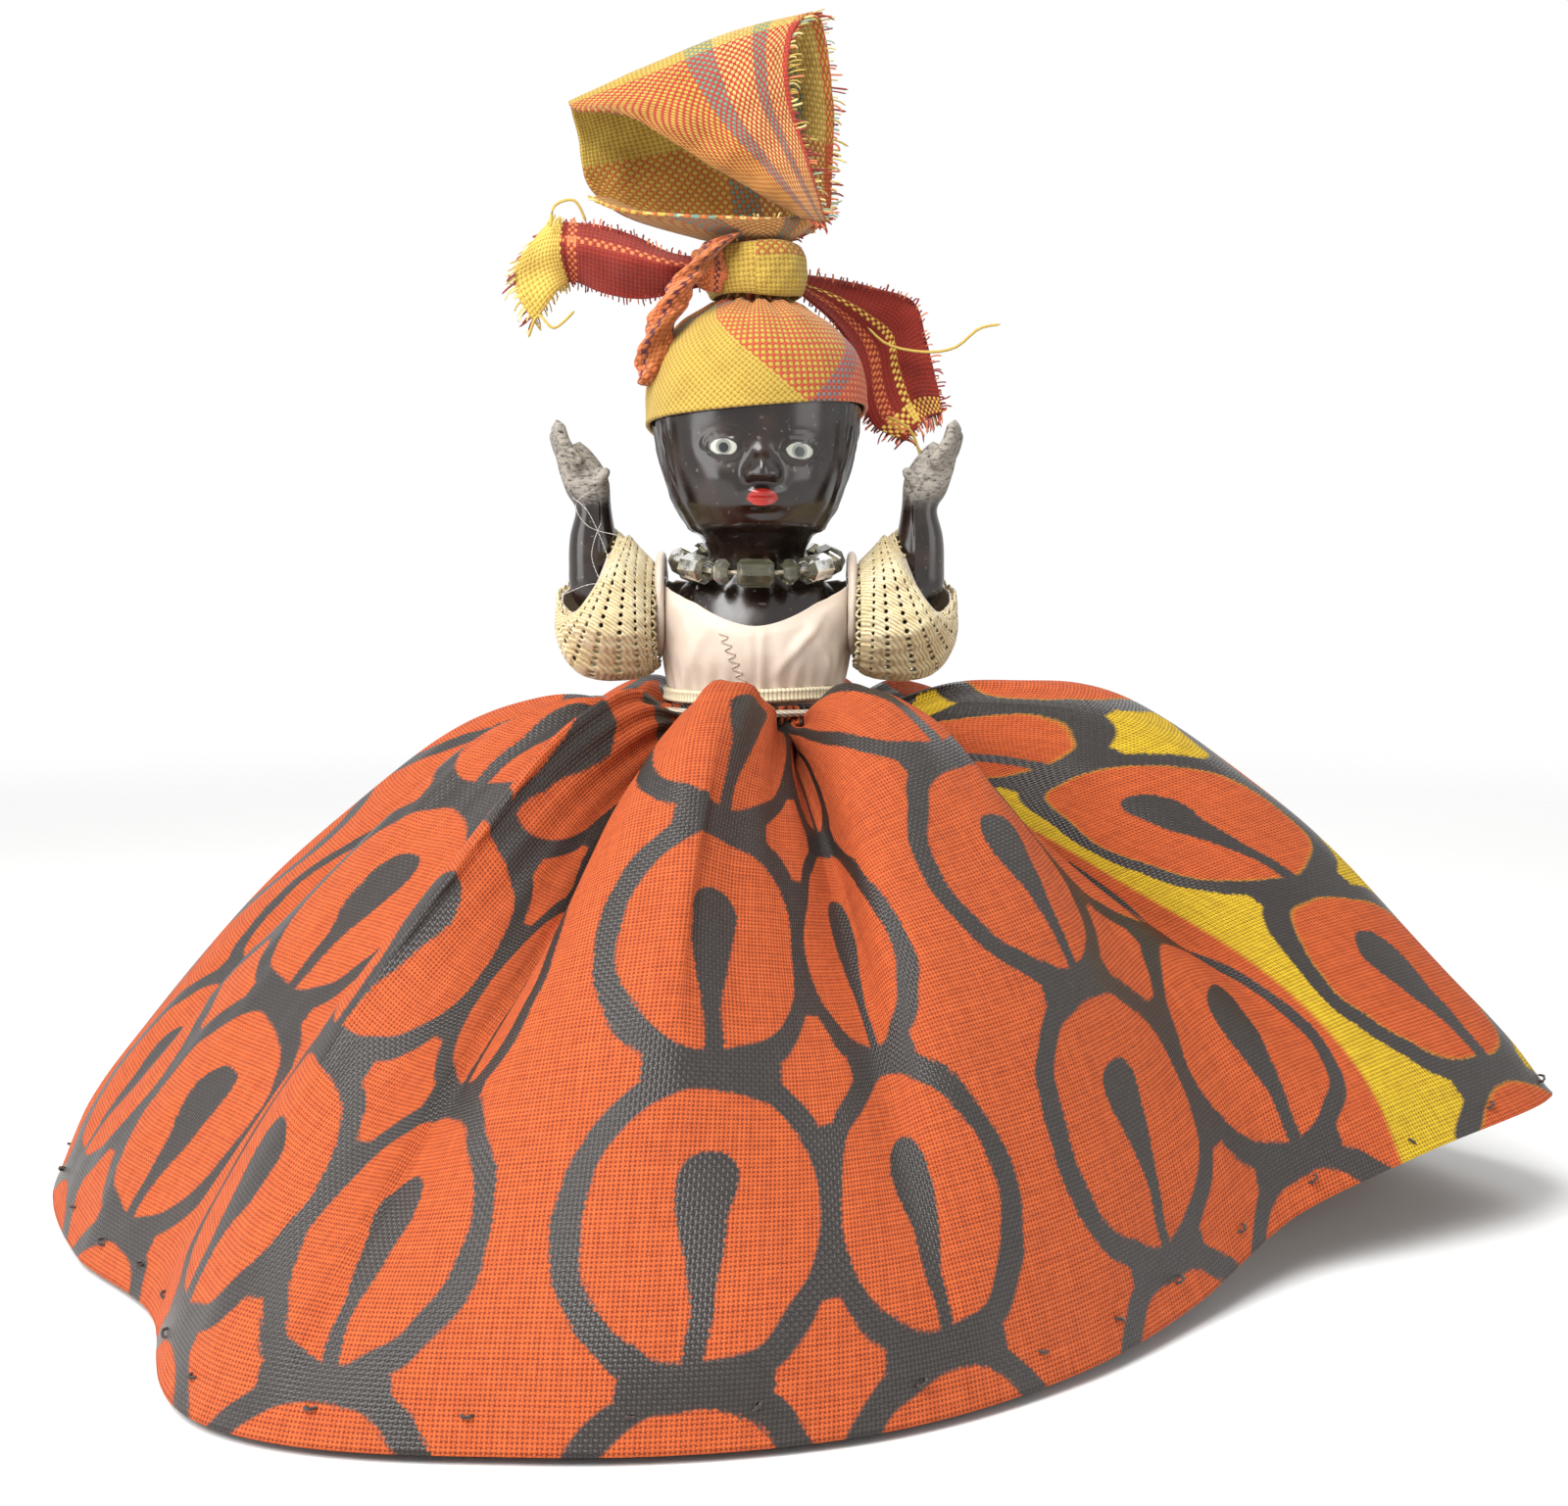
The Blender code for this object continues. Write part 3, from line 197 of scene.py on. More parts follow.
LIP_CAGE = (
    ((-0.0022, 0.0014, 0.0066), (-0.0029, -0.0002, 0.0066), (-0.0020, -0.0020, 0.0066), (0.0000, -0.0026, 0.0066),
     (0.0020, -0.0018, 0.0066), (0.0028, -0.0002, 0.0066)),
    ((-0.0090, 0.0020, 0.0088), (-0.0105, -0.0006, 0.0084), (-0.0075, -0.0036, 0.0079), (-0.0010, -0.0050, 0.0077),
     (0.0042, -0.0032, 0.0078), (0.0056, -0.0004, 0.0082)),
    ((-0.0165, 0.0024, 0.0118), (-0.0180, -0.0008, 0.0114), (-0.0130, -0.0048, 0.0094), (-0.0020, -0.0064, 0.0086),
     (0.0052, -0.0030, 0.0092), (0.0072, -0.0004, 0.0102)),
)
# Tails of the tie, as rows of points from where each leaves the band (across, towards the back, above the foot)
RIGHT_TAIL_CAGE = (
    ((0.0000, -0.0015, 0.0050), (0.0000, -0.0018, 0.0036), (0.0000, -0.0010, 0.0022)),
    ((-0.0041, -0.0030, 0.0052), (-0.0040, -0.0044, 0.0034), (-0.0040, -0.0020, 0.0010)),
    ((-0.0081, -0.0025, 0.0070), (-0.0080, -0.0046, 0.0040), (-0.0080, -0.0015, 0.0004)),
    ((-0.0121, -0.0012, 0.0084), (-0.0120, -0.0034, 0.0048), (-0.0120, -0.0005, 0.0012)),
    ((-0.0158, -0.0006, 0.0088), (-0.0156, -0.0020, 0.0054), (-0.0154, 0.0006, 0.0026)),
    ((-0.0176, -0.0012, 0.0088), (-0.0184, -0.0026, 0.0048), (-0.0172, -0.0010, 0.0014)),
    ((-0.0188, -0.0016, 0.0078), (-0.0219, -0.0034, 0.0026), (-0.0197, -0.0022, -0.0022)),
)
LEFT_TAIL_CAGE = (
    ((0.0000, 0.0010, 0.0034), (0.0000, 0.0014, 0.0024), (0.0000, 0.0010, 0.0014)),
    ((0.0046, 0.0036, 0.0030), (0.0043, 0.0048, 0.0010), (0.0036, 0.0046, -0.0012)),
    ((0.0090, 0.0052, 0.0022), (0.0080, 0.0068, -0.0008), (0.0058, 0.0066, -0.0040)),
    ((0.0130, 0.0060, 0.0010), (0.0106, 0.0078, -0.0026), (0.0068, 0.0074, -0.0076)),
    ((0.0146, 0.0062, -0.0034), (0.0116, 0.0082, -0.0056), (0.0074, 0.0080, -0.0106)),
    ((0.0158, 0.0066, -0.0084), (0.0130, 0.0084, -0.0090), (0.0088, 0.0080, -0.0132)),
    ((0.0164, 0.0066, -0.0116), (0.0146, 0.0078, -0.0124), (0.0122, 0.0074, -0.0148)),
)


def colour_property(name, description, default):
    """A colour that the user may change."""
    return FloatVectorProperty(name=name, description=description, default=default, subtype="COLOR",
                               min=0.0, max=1.0, size=3)


def length_property(name, description, default):
    """A length that the user may change."""
    return FloatProperty(name=name, description=description, default=default, unit="LENGTH", subtype="DISTANCE",
                         precision=5, min=0.0)


class SkirtSettings(bpy.types.PropertyGroup):
    """The print skirt."""
    ground: colour_property("Ground", "Colour of the printed cotton", (0.57, 0.106, 0.022))
    second_ground: colour_property("Second ground", "Colour of the print's second ground", (0.66, 0.46, 0.016))
    ink: colour_property("Ink", "Colour of the printed rings and drops", (0.012, 0.0085, 0.0070))
    thread_pitch: length_property("Thread pitch", "Distance from one thread of the weave to the next", 0.00042)
    ring_across: length_property("Ring pitch across", "Distance between rings across the cloth", 0.0240)
    ring_along: length_property("Ring pitch along", "Distance between rings along the cloth", 0.0280)
    plain_strip: length_property("Plain strip", "Width of the strip without rings after two columns", 0.0080)
    ring_stroke: FloatProperty(name="Ring stroke", description="Stroke of a ring as a share of its inner size",
                               default=0.23, min=0.05, max=0.5)
    columns: IntProperty(name="Columns", description="Columns of faces in each fold", default=40, min=8, max=44)
    rows: IntProperty(name="Rows", description="Rows of faces from waist to hem", default=100, min=10, max=110)


class DollSettings(bpy.types.PropertyGroup):
    """The moulded plastic doll."""
    plastic: colour_property("Plastic", "Colour of the plastic", (0.010, 0.0055, 0.0040))
    lips: colour_property("Lips", "Painted lips", (0.36, 0.018, 0.011))
    eyes: colour_property("Eyes", "Painted whites of the eyes", (0.38, 0.39, 0.33))
    dust: colour_property("Dust", "Dust and scuffs on the hands", (0.42, 0.38, 0.32))


class DressSettings(bpy.types.PropertyGroup):
    """Blouse, sleeves, band, thread and beads."""
    nylon: colour_property("Nylon", "Colour of the blouse", (0.63, 0.535, 0.44))
    lace: colour_property("Lace", "Colour of the sleeves", (0.62, 0.51, 0.28))
    band: colour_property("Band", "Colour of the waist band", (0.62, 0.54, 0.34))
    glass: colour_property("Glass", "Colour of the beads", (0.15, 0.145, 0.09))
    stitch_columns: IntProperty(name="Lace stitches", description="Lace stitches round a sleeve", default=104,
                                min=24, max=160)


class HeadclothSettings(bpy.types.PropertyGroup):
    """The plaid headcloth and its tie."""
    yellow: colour_property("Yellow", "Main colour of the plaid", (0.50, 0.350, 0.060))
    red: colour_property("Red", "Red of the plaid", (0.26, 0.022, 0.012))
    orange: colour_property("Orange", "Orange of the plaid", (0.68, 0.20, 0.075))
    teal: colour_property("Teal", "Pale green-blue of the plaid", (0.30, 0.42, 0.30))
    purple: colour_property("Purple", "Dark stripes of the tie", (0.085, 0.025, 0.045))
    thread_pitch: length_property("Thread pitch", "Distance from one thread of the weave to the next", 0.00048)


class StageSettings(bpy.types.PropertyGroup):
    """Floor, lights and camera."""
    floor: colour_property("Floor", "Colour of the floor", (0.90, 0.90, 0.89))
    key_power: FloatProperty(name="Key light", description="Power of the soft light over the camera, in watts",
                             default=4.3, min=0.0, subtype="POWER")
    fill_power: FloatProperty(name="Side light", description="Power of the soft side lights, in watts",
                              default=0.9, min=0.0, subtype="POWER")
    sky: FloatProperty(name="Sky", description="Strength of the even light from all round", default=0.36, min=0.0)


# Curves and surfaces


def smooth_path(points, share):
    """The point at a share from 0 to 1 of a smooth curve through points, which are tuples of one length."""
    spans = len(points) - 1
    place = min(max(share, 0.0), 1.0) * spans
    span = min(int(place), spans - 1)
    t = place - span
    before = points[max(span - 1, 0)]
    here = points[span]
    there = points[span + 1]
    after = points[min(span + 2, spans)]
    found = []
    for a, b, c, d in zip(before, here, there, after):
        found.append(0.5 * (2 * b + (c - a) * t + (2 * a - 5 * b + 4 * c - d) * t * t
                            + (3 * b - a - 3 * c + d) * t ** 3))
    return found


def share_at(rows, key):
    """The smooth values of a table's other columns where its rising first column equals key."""
    spans = len(rows) - 1
    span = 0
    while span < spans - 1 and rows[span + 1][0] < key:
        span += 1
    low = rows[span][0]
    high = rows[span + 1][0]
    t = min(max((key - low) / (high - low), 0.0), 1.0)
    return smooth_path(rows, (span + t) / spans)[1:]


def ease(low, high, value):
    """0 below low, 1 above high, and smooth between."""
    t = min(max((value - low) / (high - low), 0.0), 1.0)
    return t * t * (3 - 2 * t)


def hill(distance, width):
    """A smooth hill of height 1 at distance 0."""
    return math.exp(-(distance / width) ** 2)


def polar(radius, angle, height=0.0):
    """A point at a radius and an angle in degrees from the front."""
    turn = math.radians(angle)
    return Vector((radius * math.sin(turn), -radius * math.cos(turn), height))


def around(angle, half_width, front, back, height):
    """A point on an oval with unlike front and back halves."""
    turn = math.radians(angle)
    depth = front if math.cos(turn) > 0 else back
    return Vector((half_width * math.sin(turn), -depth * math.cos(turn), height))


def torso_section(height):
    """Half width, front and back of the torso at a height."""
    wide, front, back = share_at(TORSO_SHAPE, (height - BODY_BOTTOM) / (NECK - BODY_BOTTOM))
    return wide * TORSO_WIDTH / 2, front * TORSO_DEPTH / 2, back * TORSO_DEPTH / 2


def head_section(height):
    """Half width, front and back of the head at a height."""
    wide, front, back = share_at(HEAD_SHAPE, (height - CHIN) / HEAD_HEIGHT)
    return wide * HEAD_WIDTH / 2, front * HEAD_DEPTH / 2, back * HEAD_DEPTH / 2


def offset_point(section_at, angle, height, offset):
    """A point of the turned surface given by section_at, moved outwards along its normal."""
    def surface(turned, level):
        return around(turned, *section_at(level), level)

    step = 0.0001
    across = surface(angle + 1, height) - surface(angle - 1, height)
    upwards = surface(angle, height + step) - surface(angle, height - step)
    return surface(angle, height) + across.cross(upwards).normalized() * offset


def torso_point(angle, height, offset):
    """A point at an offset outside the torso."""
    return offset_point(torso_section, angle, height, offset)


def head_point(angle, height, offset):
    """A point at an offset outside the head."""
    return offset_point(head_section, angle, height, offset)


# Meshes and pieces


def uv_layer(bm):
    """The UV map that every finish reads."""
    return bm.loops.layers.uv.get("UVMap") or bm.loops.layers.uv.new("UVMap")


def arm_body(side):
    """The arm's body at a side, which is -1 for the doll's right and 1 for its left."""
    return "right_arm" if side < 0 else "left_arm"


def sheet_into(bm, columns, rows, point_at, uv_at=None):
    """Adds a grid whose vertex at shares (u, v) lies at point_at(u, v), with its flat cloth in the UV map."""
    layer = uv_layer(bm)
    made = bmesh.ops.create_grid(bm, x_segments=columns, y_segments=rows, size=1.0)["verts"]
    shares = {vert: ((vert.co.x + 1) / 2, (vert.co.y + 1) / 2) for vert in made}
    for vert, (u, v) in shares.items():
        vert.co = point_at(u, v)
    if uv_at:
        for face in {face for vert in made for face in vert.link_faces}:
            for loop in face.loops:
                loop[layer].uv = uv_at(*shares[loop.vert])
    return made


def merge(bm, distance=1e-7):
    """Joins vertices that lie on each other."""
    bmesh.ops.remove_doubles(bm, verts=bm.verts, dist=distance)


def sheet_mesh(columns, rows, point_at, uv_at=None):
    """A new bmesh with one grid, joined where its edges meet."""
    bm = bmesh.new()
    sheet_into(bm, columns, rows, point_at, uv_at)
    merge(bm, JOIN)
    return bm


def close_ends(bm):
    """Fills the open ends of a tube."""
    bmesh.ops.holes_fill(bm, edges=[edge for edge in bm.edges if edge.is_boundary])


def tube_into(bm, points, radii, sides=6, colour=0.0):
    """Adds a tube through points, with a radius for each; its UV map holds its colour's number and its length."""
    layer = uv_layer(bm)
    rings = len(points) - 1
    grid = bmesh.ops.create_grid(bm, x_segments=sides, y_segments=rings, size=1.0)["verts"]
    frames = []
    for step in range(rings + 1):
        ahead = (points[min(step + 1, rings)] - points[max(step - 1, 0)]).normalized()
        side = ahead.cross(Vector((0.31, 0.17, 0.93))).normalized()
        frames.append((points[step], side, side.cross(ahead)))
    for vert in grid:
        turn = math.pi * (vert.co.x + 1)
        step = round((vert.co.y + 1) / 2 * rings)
        middle, side, up = frames[step]
        vert.co = middle + (side * math.cos(turn) - up * math.sin(turn)) * radii[step]
    for face in {face for vert in grid for face in vert.link_faces}:
        for loop in face.loops:
            loop[layer].uv = (colour, 0.0)
    return grid


def thread_into(bm, points, radius, sides=4, colour=0.0):
    """Adds a thin thread through points, pointed at both ends."""
    radii = [radius] * len(points)
    radii[0] = 0.0
    radii[-1] = 0.0
    return tube_into(bm, points, radii, sides, colour)


def curve_points(route, steps):
    """Evenly numbered points along a smooth curve through a route."""
    return [Vector(smooth_path([tuple(point) for point in route], step / steps)) for step in range(steps + 1)]


def mesh_from(name, bm, closed=False):
    """Turns a bmesh into a mesh, with its normals outwards where it is closed."""
    if closed:
        bmesh.ops.recalc_face_normals(bm, faces=bm.faces)
    mesh = bpy.data.meshes.new(name)
    bm.to_mesh(mesh)
    bm.free()
    return mesh


def add_piece(name, bm, finish, body, nodes=(), sharp=None, closed=True):
    """Links a piece that rides on a body, takes its finish from a slot and may replace CAD nodes."""
    mesh = mesh_from(name, bm, closed)
    made = bpy.data.objects.new(name, mesh)
    bpy.context.scene.collection.objects.link(made)
    mesh.materials.clear()
    mesh.materials.append(finish)
    mesh.shade_smooth()
    if sharp:
        mesh.set_sharp_from_angle(angle=math.radians(sharp))
    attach(made, body)
    if nodes:
        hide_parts(*nodes)
    return made


def add_sheet(name, bm, finish, body, nodes=()):
    """Links an open sheet as a piece."""
    return add_piece(name, bm, finish, body, nodes, closed=False)


def thicken(made, thickness, offset=-1.0):
    """Gives an open sheet its thickness, inwards unless offset says otherwise."""
    modifier = made.modifiers.new("Thickness", "SOLIDIFY")
    modifier.thickness = thickness
    modifier.offset = offset


def subdivide(made, levels=1):
    """Rounds a piece off."""
    modifier = made.modifiers.new("Rounding", "SUBSURF")
    modifier.levels = levels
    modifier.render_levels = levels


def lay_out(made):
    """Adds up the area of a sheet's faces, and does nothing with it."""
    area = sum(face.area for face in made.data.polygons)


def apply_modifiers(made):
    """Bakes a piece's modifiers into its mesh."""
    bpy.context.view_layer.update()
    shaped = bpy.data.meshes.new_from_object(made.evaluated_get(bpy.context.evaluated_depsgraph_get()))
    old = made.data
    made.modifiers.clear()
    made.data = shaped
    bpy.data.meshes.remove(old)


def cut(made, cutter_mesh):
    """Cuts a mesh out of a piece."""
    cutter = bpy.data.objects.new("cutter", cutter_mesh)
    bpy.context.scene.collection.objects.link(cutter)
    modifier = made.modifiers.new("Cut", "BOOLEAN")
    modifier.object = cutter
    modifier.operation = "DIFFERENCE"
    modifier.solver = "EXACT"
    apply_modifiers(made)
    bpy.data.objects.remove(cutter)


def rod_mesh(name, start, end, radius, segments=24):
    """A cylinder between two points."""
    start = Vector(start)
    end = Vector(end)
    along = end - start
    placed = Matrix.Translation((start + end) / 2) @ along.to_track_quat("Z", "Y").to_matrix().to_4x4()
    bm = bmesh.new()
    bmesh.ops.create_cone(bm, cap_ends=True, segments=segments, radius1=radius, radius2=radius,
                          depth=along.length, matrix=placed)
    return mesh_from(name, bm)


def cage_sheet(bm, cage, origin, columns, rows, shape=None):
    """Adds a smooth sheet through the rows of points in cage, with its flat size in the UV map, in mm."""
    def raw(u, v):
        across = [smooth_path([row[column] for row in cage], v) for column in range(len(cage[0]))]
        return origin + Vector(smooth_path(across, u))

    steps = 24
    length = sum((raw(0.5, (i + 1) / steps) - raw(0.5, i / steps)).length for i in range(steps)) / MM
    width = max(sum((raw((i + 1) / steps, v) - raw(i / steps, v)).length for i in range(steps))
                for v in (0.2, 0.5, 0.8)) / MM

    def point_at(u, v):
        point = raw(u, v)
        return shape(point, u, v) if shape else point

    sheet_into(bm, columns, rows, point_at, lambda u, v: (u * width, v * length))
    return raw


# Finishes


class Wire:
    """A number in a material's node tree, which can be added, multiplied and compared."""

    def __init__(self, tree, socket):
        self.tree = tree
        self.socket = socket

    def join(self, operation, *others):
        node = self.tree.nodes.new("ShaderNodeMath")
        node.operation = operation
        for value, socket in zip((self, *others), node.inputs):
            if isinstance(value, Wire):
                self.tree.links.new(value.socket, socket)
            else:
                socket.default_value = value
        return Wire(self.tree, node.outputs[0])

    def __add__(self, other):
        return self.join("ADD", other)

    def __sub__(self, other):
        return self.join("SUBTRACT", other)

    def __mul__(self, other):
        return self.join("MULTIPLY", other)

    def __truediv__(self, other):
        return self.join("DIVIDE", other)

    def __abs__(self):
        return self.join("ABSOLUTE")

    def less(self, number):
        return (self * -1.0) + number

    def square(self):
        return self * self

    def root(self):
        return self.join("SQRT")

    def power(self, number):
        return self.join("POWER", number)

    def wave(self):
        return self.join("SINE")

    def least(self, other):
        return self.join("MINIMUM", other)

    def most(self, other):
        return self.join("MAXIMUM", other)

    def repeat(self, period):
        return self.join("FLOORED_MODULO", period)

    def ease(self, low, high, to_low=0.0, to_high=1.0):
        """A smooth change from to_low to to_high as the number rises from low to high."""
        node = self.tree.nodes.new("ShaderNodeMapRange")
        node.interpolation_type = "SMOOTHSTEP"
        self.tree.links.new(self.socket, node.inputs["Value"])
        for name, value in (("From Min", low), ("From Max", high), ("To Min", to_low), ("To Max", to_high)):
            node.inputs[name].default_value = value
        return Wire(self.tree, node.outputs["Result"])


class Finish:
    """A material with one Principled shader, and the node calls that the finishes share."""

    def __init__(self, name, **constants):
        self.material = bpy.data.materials.new(name)
        self.material.use_nodes = True
        self.tree = self.material.node_tree
        self.shader = self.tree.nodes["Principled BSDF"]
        for socket, value in constants.items():
            plain = (*value, 1.0) if isinstance(value, tuple) else value
            self.shader.inputs[socket.replace("_", " ")].default_value = plain

    def object_place(self):
        """X, Y and Z of the place on the object, in metres."""
        source = self.tree.nodes.new("ShaderNodeTexCoord").outputs["Object"]
        return self.split(source)

    def cloth_place(self):
        """Place on the flat cloth, in mm."""
        source = self.tree.nodes.new("ShaderNodeUVMap")
        source.uv_map = "UVMap"
        return self.split(source.outputs["UV"])[:2]

    def split(self, socket):
        node = self.tree.nodes.new("ShaderNodeSeparateXYZ")
        self.tree.links.new(socket, node.inputs[0])
        return [Wire(self.tree, out) for out in node.outputs]

    def attribute(self, name):
        """A number kept with each vertex."""
        node = self.tree.nodes.new("ShaderNodeAttribute")
        node.attribute_name = name
        return Wire(self.tree, node.outputs["Fac"])

    def noise(self, wires, scale, detail=2.0, roughness=0.5):
        """Soft noise from 0 to 1 at a place given by up to three numbers."""
        place = self.tree.nodes.new("ShaderNodeCombineXYZ")
        for wire, socket in zip(wires, place.inputs):
            self.tree.links.new(wire.socket, socket)
        node = self.tree.nodes.new("ShaderNodeTexNoise")
        self.tree.links.new(place.outputs[0], node.inputs["Vector"])
        node.inputs["Scale"].default_value = scale
        node.inputs["Detail"].default_value = detail
        node.inputs["Roughness"].default_value = roughness
        return Wire(self.tree, node.outputs["Fac"])

    def mix(self, share, low, high):
        """The colour between low and high, which are colours or sockets."""
        node = self.tree.nodes.new("ShaderNodeMix")
        node.data_type = "RGBA"
        self.tree.links.new(share.socket, node.inputs["Factor"])
        for value, socket in ((low, node.inputs[6]), (high, node.inputs[7])):
            if isinstance(value, bpy.types.NodeSocket):
                self.tree.links.new(value, socket)
            else:
                socket.default_value = (*value, 1.0)
        return node.outputs[2]

    def stripes(self, place, bands):
        """Colour of a set of stripes at a place from 0 to 1: bands are (start, colour), in order."""
        node = self.tree.nodes.new("ShaderNodeValToRGB")
        ramp = node.color_ramp
        ramp.interpolation = "CONSTANT"
        while len(ramp.elements) < len(bands):
            ramp.elements.new(1.0)
        for element, (start, colour) in zip(ramp.elements, bands):
            element.position = start
            element.color = (*colour, 1.0)
        self.tree.links.new(place.socket, node.inputs[0])
        return node.outputs[0]

    def shade(self, colour, share, dark):
        """Darkens a colour towards dark times itself where share falls to 0."""
        node = self.tree.nodes.new("ShaderNodeMix")
        node.data_type = "RGBA"
        node.blend_type = "MULTIPLY"
        node.inputs["Factor"].default_value = 1.0
        self.tree.links.new(colour, node.inputs[6])
        grey = self.mix(share, dark, (1.0, 1.0, 1.0))
        self.tree.links.new(grey, node.inputs[7])
        return node.outputs[2]

    def link(self, name, value):
        self.tree.links.new(value.socket if isinstance(value, Wire) else value, self.shader.inputs[name])

    def bump(self, height, distance, strength=1.0):
        """Raises the surface by height, a number from 0 to 1, times distance in metres."""
        node = self.tree.nodes.new("ShaderNodeBump")
        node.inputs["Distance"].default_value = distance
        node.inputs["Strength"].default_value = strength
        self.tree.links.new(height.socket, node.inputs["Height"])
        self.tree.links.new(node.outputs[0], self.shader.inputs["Normal"])


def weave(x, y, pitch):
    """Height from 0 to 1 of a plain weave, and which thread lies on top, where x and y are in mm."""
    across = (x * (math.pi / pitch)).wave()
    along = (y * (math.pi / pitch)).wave()
    over = across * along
    height = (abs(across) * (over * 0.4 + 0.6)).most(abs(along) * (over * -0.4 + 0.6))
    return height, over


def printed_cotton(look):
    """Plain-woven cotton with black rings, each with a drop in it, drawn by hand on an orange ground."""
    made = Finish("printed_cotton", Specular_IOR_Level=0.4)
    x, y = made.cloth_place()
    pitch = look.thread_pitch / MM
    height, over = weave(x, y, pitch)

    sway = made.noise((x, y), 0.11, 1.0)
    drift = made.noise((y, x), 0.13, 1.0)
    edge = made.noise((x, y), 1.6, 1.0)
    rough_edge = (edge - 0.5) * 0.5 + (over * 0.12)
    drawn_x = x + (sway - 0.5) * 2.6 + rough_edge
    drawn_y = y + (drift - 0.5) * 2.6 + rough_edge * 0.7

    half_across = look.ring_across / MM / 2
    half_along = look.ring_along / MM / 2
    half_period = half_across * 2 + look.plain_strip / MM / 2
    ring_x = abs(drawn_x.repeat(half_period * 2) - half_period) - half_across
    ring_y = drawn_y.repeat(half_along * 2) - half_along
    inner_x = half_across * 0.89
    inner_y = half_along * 0.87
    outer = 1.0 + look.ring_stroke

    def reach_from(across, along):
        """Distance from the middle of a ring, which is 1 at its inner edge."""
        return ((across / inner_x).square() + (along / inner_y).square()).root()

    reach = reach_from(ring_x, ring_y)
    beside = reach_from(ring_x + half_across * 2, ring_y)
    above = reach_from(ring_x, abs(ring_y) - half_along * 2)
    ring = reach.ease(0.975, 1.015) * reach.ease(outer - 0.02, outer + 0.02, 1.0, 0.0)
    joint = (reach + beside.least(above)).ease(outer * 2 + 0.13, outer * 2 + 0.17, 1.0, 0.0)
    joint = joint * reach.ease(1.0, 1.04)

    drop_head = (ring_x.square() + (ring_y - 3.0).square()).root().ease(2.75, 3.1, 1.0, 0.0)
    rise = ring_y.ease(-half_along, 3.0)
    drop_neck = (abs(ring_x) - (rise.power(2.3) * 2.0 + 0.85)).ease(-0.2, 0.25, 1.0, 0.0)
    drop_neck = drop_neck.least(ring_y.ease(2.9, 3.4, 1.0, 0.0)).least(ring_y.ease(-half_along, -half_along + 0.1))
    ink = ring.most(joint).most(drop_head).most(drop_neck)

    worn = made.noise((x, y), 0.9, 4.0, 0.65)
    slub = made.noise((x * 0.12, y * 2.2), 1.0, 2.0)
    slub = slub + made.noise((x * 2.2, y * 0.12), 1.0, 2.0)
    second = made.attribute("second_ground").ease(0.42, 0.58)
    inside = reach.ease(0.95, 1.05, 1.0, 0.0)
    ground = made.mix(second * inside.less(1.0), tuple(look.ground), tuple(look.second_ground))
    # Painted shade: the ground darkens in the hollows between the weave's threads, with a little random tone from
    # the worn noise mixed in.
    ground = made.shade(ground, (height * 1.25 + (worn - 0.5) * 0.5).ease(0.25, 0.85), (0.30, 0.20, 0.18))
    ground = made.shade(ground, slub.ease(0.7, 1.25), (0.80, 0.74, 0.72))
    inked = made.mix((height * 0.8 + worn * 0.5).ease(0.5, 1.2), tuple(look.ink), (0.052, 0.041, 0.035))
    made.link("Base Color", made.mix(ink * (worn * 0.5).ease(0.02, 0.16), ground, inked))
    made.link("Roughness", ink.ease(0.0, 1.0, 0.85, 0.36))
    made.bump(height + worn * 0.25, 0.00007)
    return made.material


def plain_cotton(name, colour, pitch, dark=(0.45, 0.40, 0.34)):
    """Undyed woven cotton, with its weave read from the place on the object and painted shade in the weave's
    hollows.
    """
    made = Finish(name, Roughness=0.9, Sheen_Weight=0.1)
    x, y, z = made.object_place()
    height, _ = weave(x / MM, (z + y) / MM, pitch / MM)
    soil = made.noise((x, y, z), 60.0, 3.0)
    base = made.mix(soil.ease(0.3, 0.75), tuple(channel * 0.82 for channel in colour), colour)
    # Painted shade: the colour darkens towards dark in the hollows between the weave's threads.
    made.link("Base Color", made.shade(base, height.ease(0.2, 0.8), dark))
    made.bump(height, 0.00006)
    return made.material


def pressed_card():
    """Grey-brown pressed card with fibres."""
    made = Finish("pressed_card", Roughness=0.92)
    place = made.object_place()
    fibre = made.noise(place, 900.0, 4.0, 0.7)
    patch = made.noise(place, 90.0, 2.0)
    base = made.mix(fibre.ease(0.3, 0.7), (0.33, 0.26, 0.18), (0.50, 0.41, 0.30))
    made.link("Base Color", made.shade(base, patch.ease(0.25, 0.6), (0.82, 0.80, 0.78)))
    made.bump(fibre, 0.00006)
    return made.material


def moulded_plastic(name, look, hands=False):
    """Glossy dark brown plastic with fine scratches; the hands are scuffed and dusty."""
    made = Finish(name, Base_Color=tuple(look.plastic), IOR=1.5, Specular_IOR_Level=0.55)
    x, y, z = made.object_place()
    smear = made.noise((x, y, z), 260.0, 4.0, 0.6)
    speck = made.noise((x, y, z), 1500.0, 1.0)
    warm = made.mix(smear.ease(0.42, 0.7), tuple(look.plastic), (0.024, 0.012, 0.008))
    specks = speck.ease(0.70, 0.76)
    base = made.mix(specks * 0.5, warm, (0.16, 0.13, 0.11))
    rough = smear.ease(0.35, 0.75, 0.16, 0.30)
    if hands:
        grain = made.noise((x, y * 3.0, z * 3.0), 900.0, 3.0, 0.7)
        above = z.ease(SHOULDER + 0.0102, SHOULDER + 0.0136)
        palm = (y * 0.6).ease(-0.004, 0.001, 1.0, 0.55)
        dust = above * palm * grain.ease(0.28, 0.58)
        base = made.mix(dust * 0.9, base, tuple(look.dust))
        rough = rough.most(dust.ease(0.0, 0.6, 0.18, 0.72))
        made.bump(grain * above + smear * 0.15, 0.00010)
    else:
        made.bump(smear, 0.00003)
    made.link("Base Color", base)
    made.link("Roughness", rough)
    return made


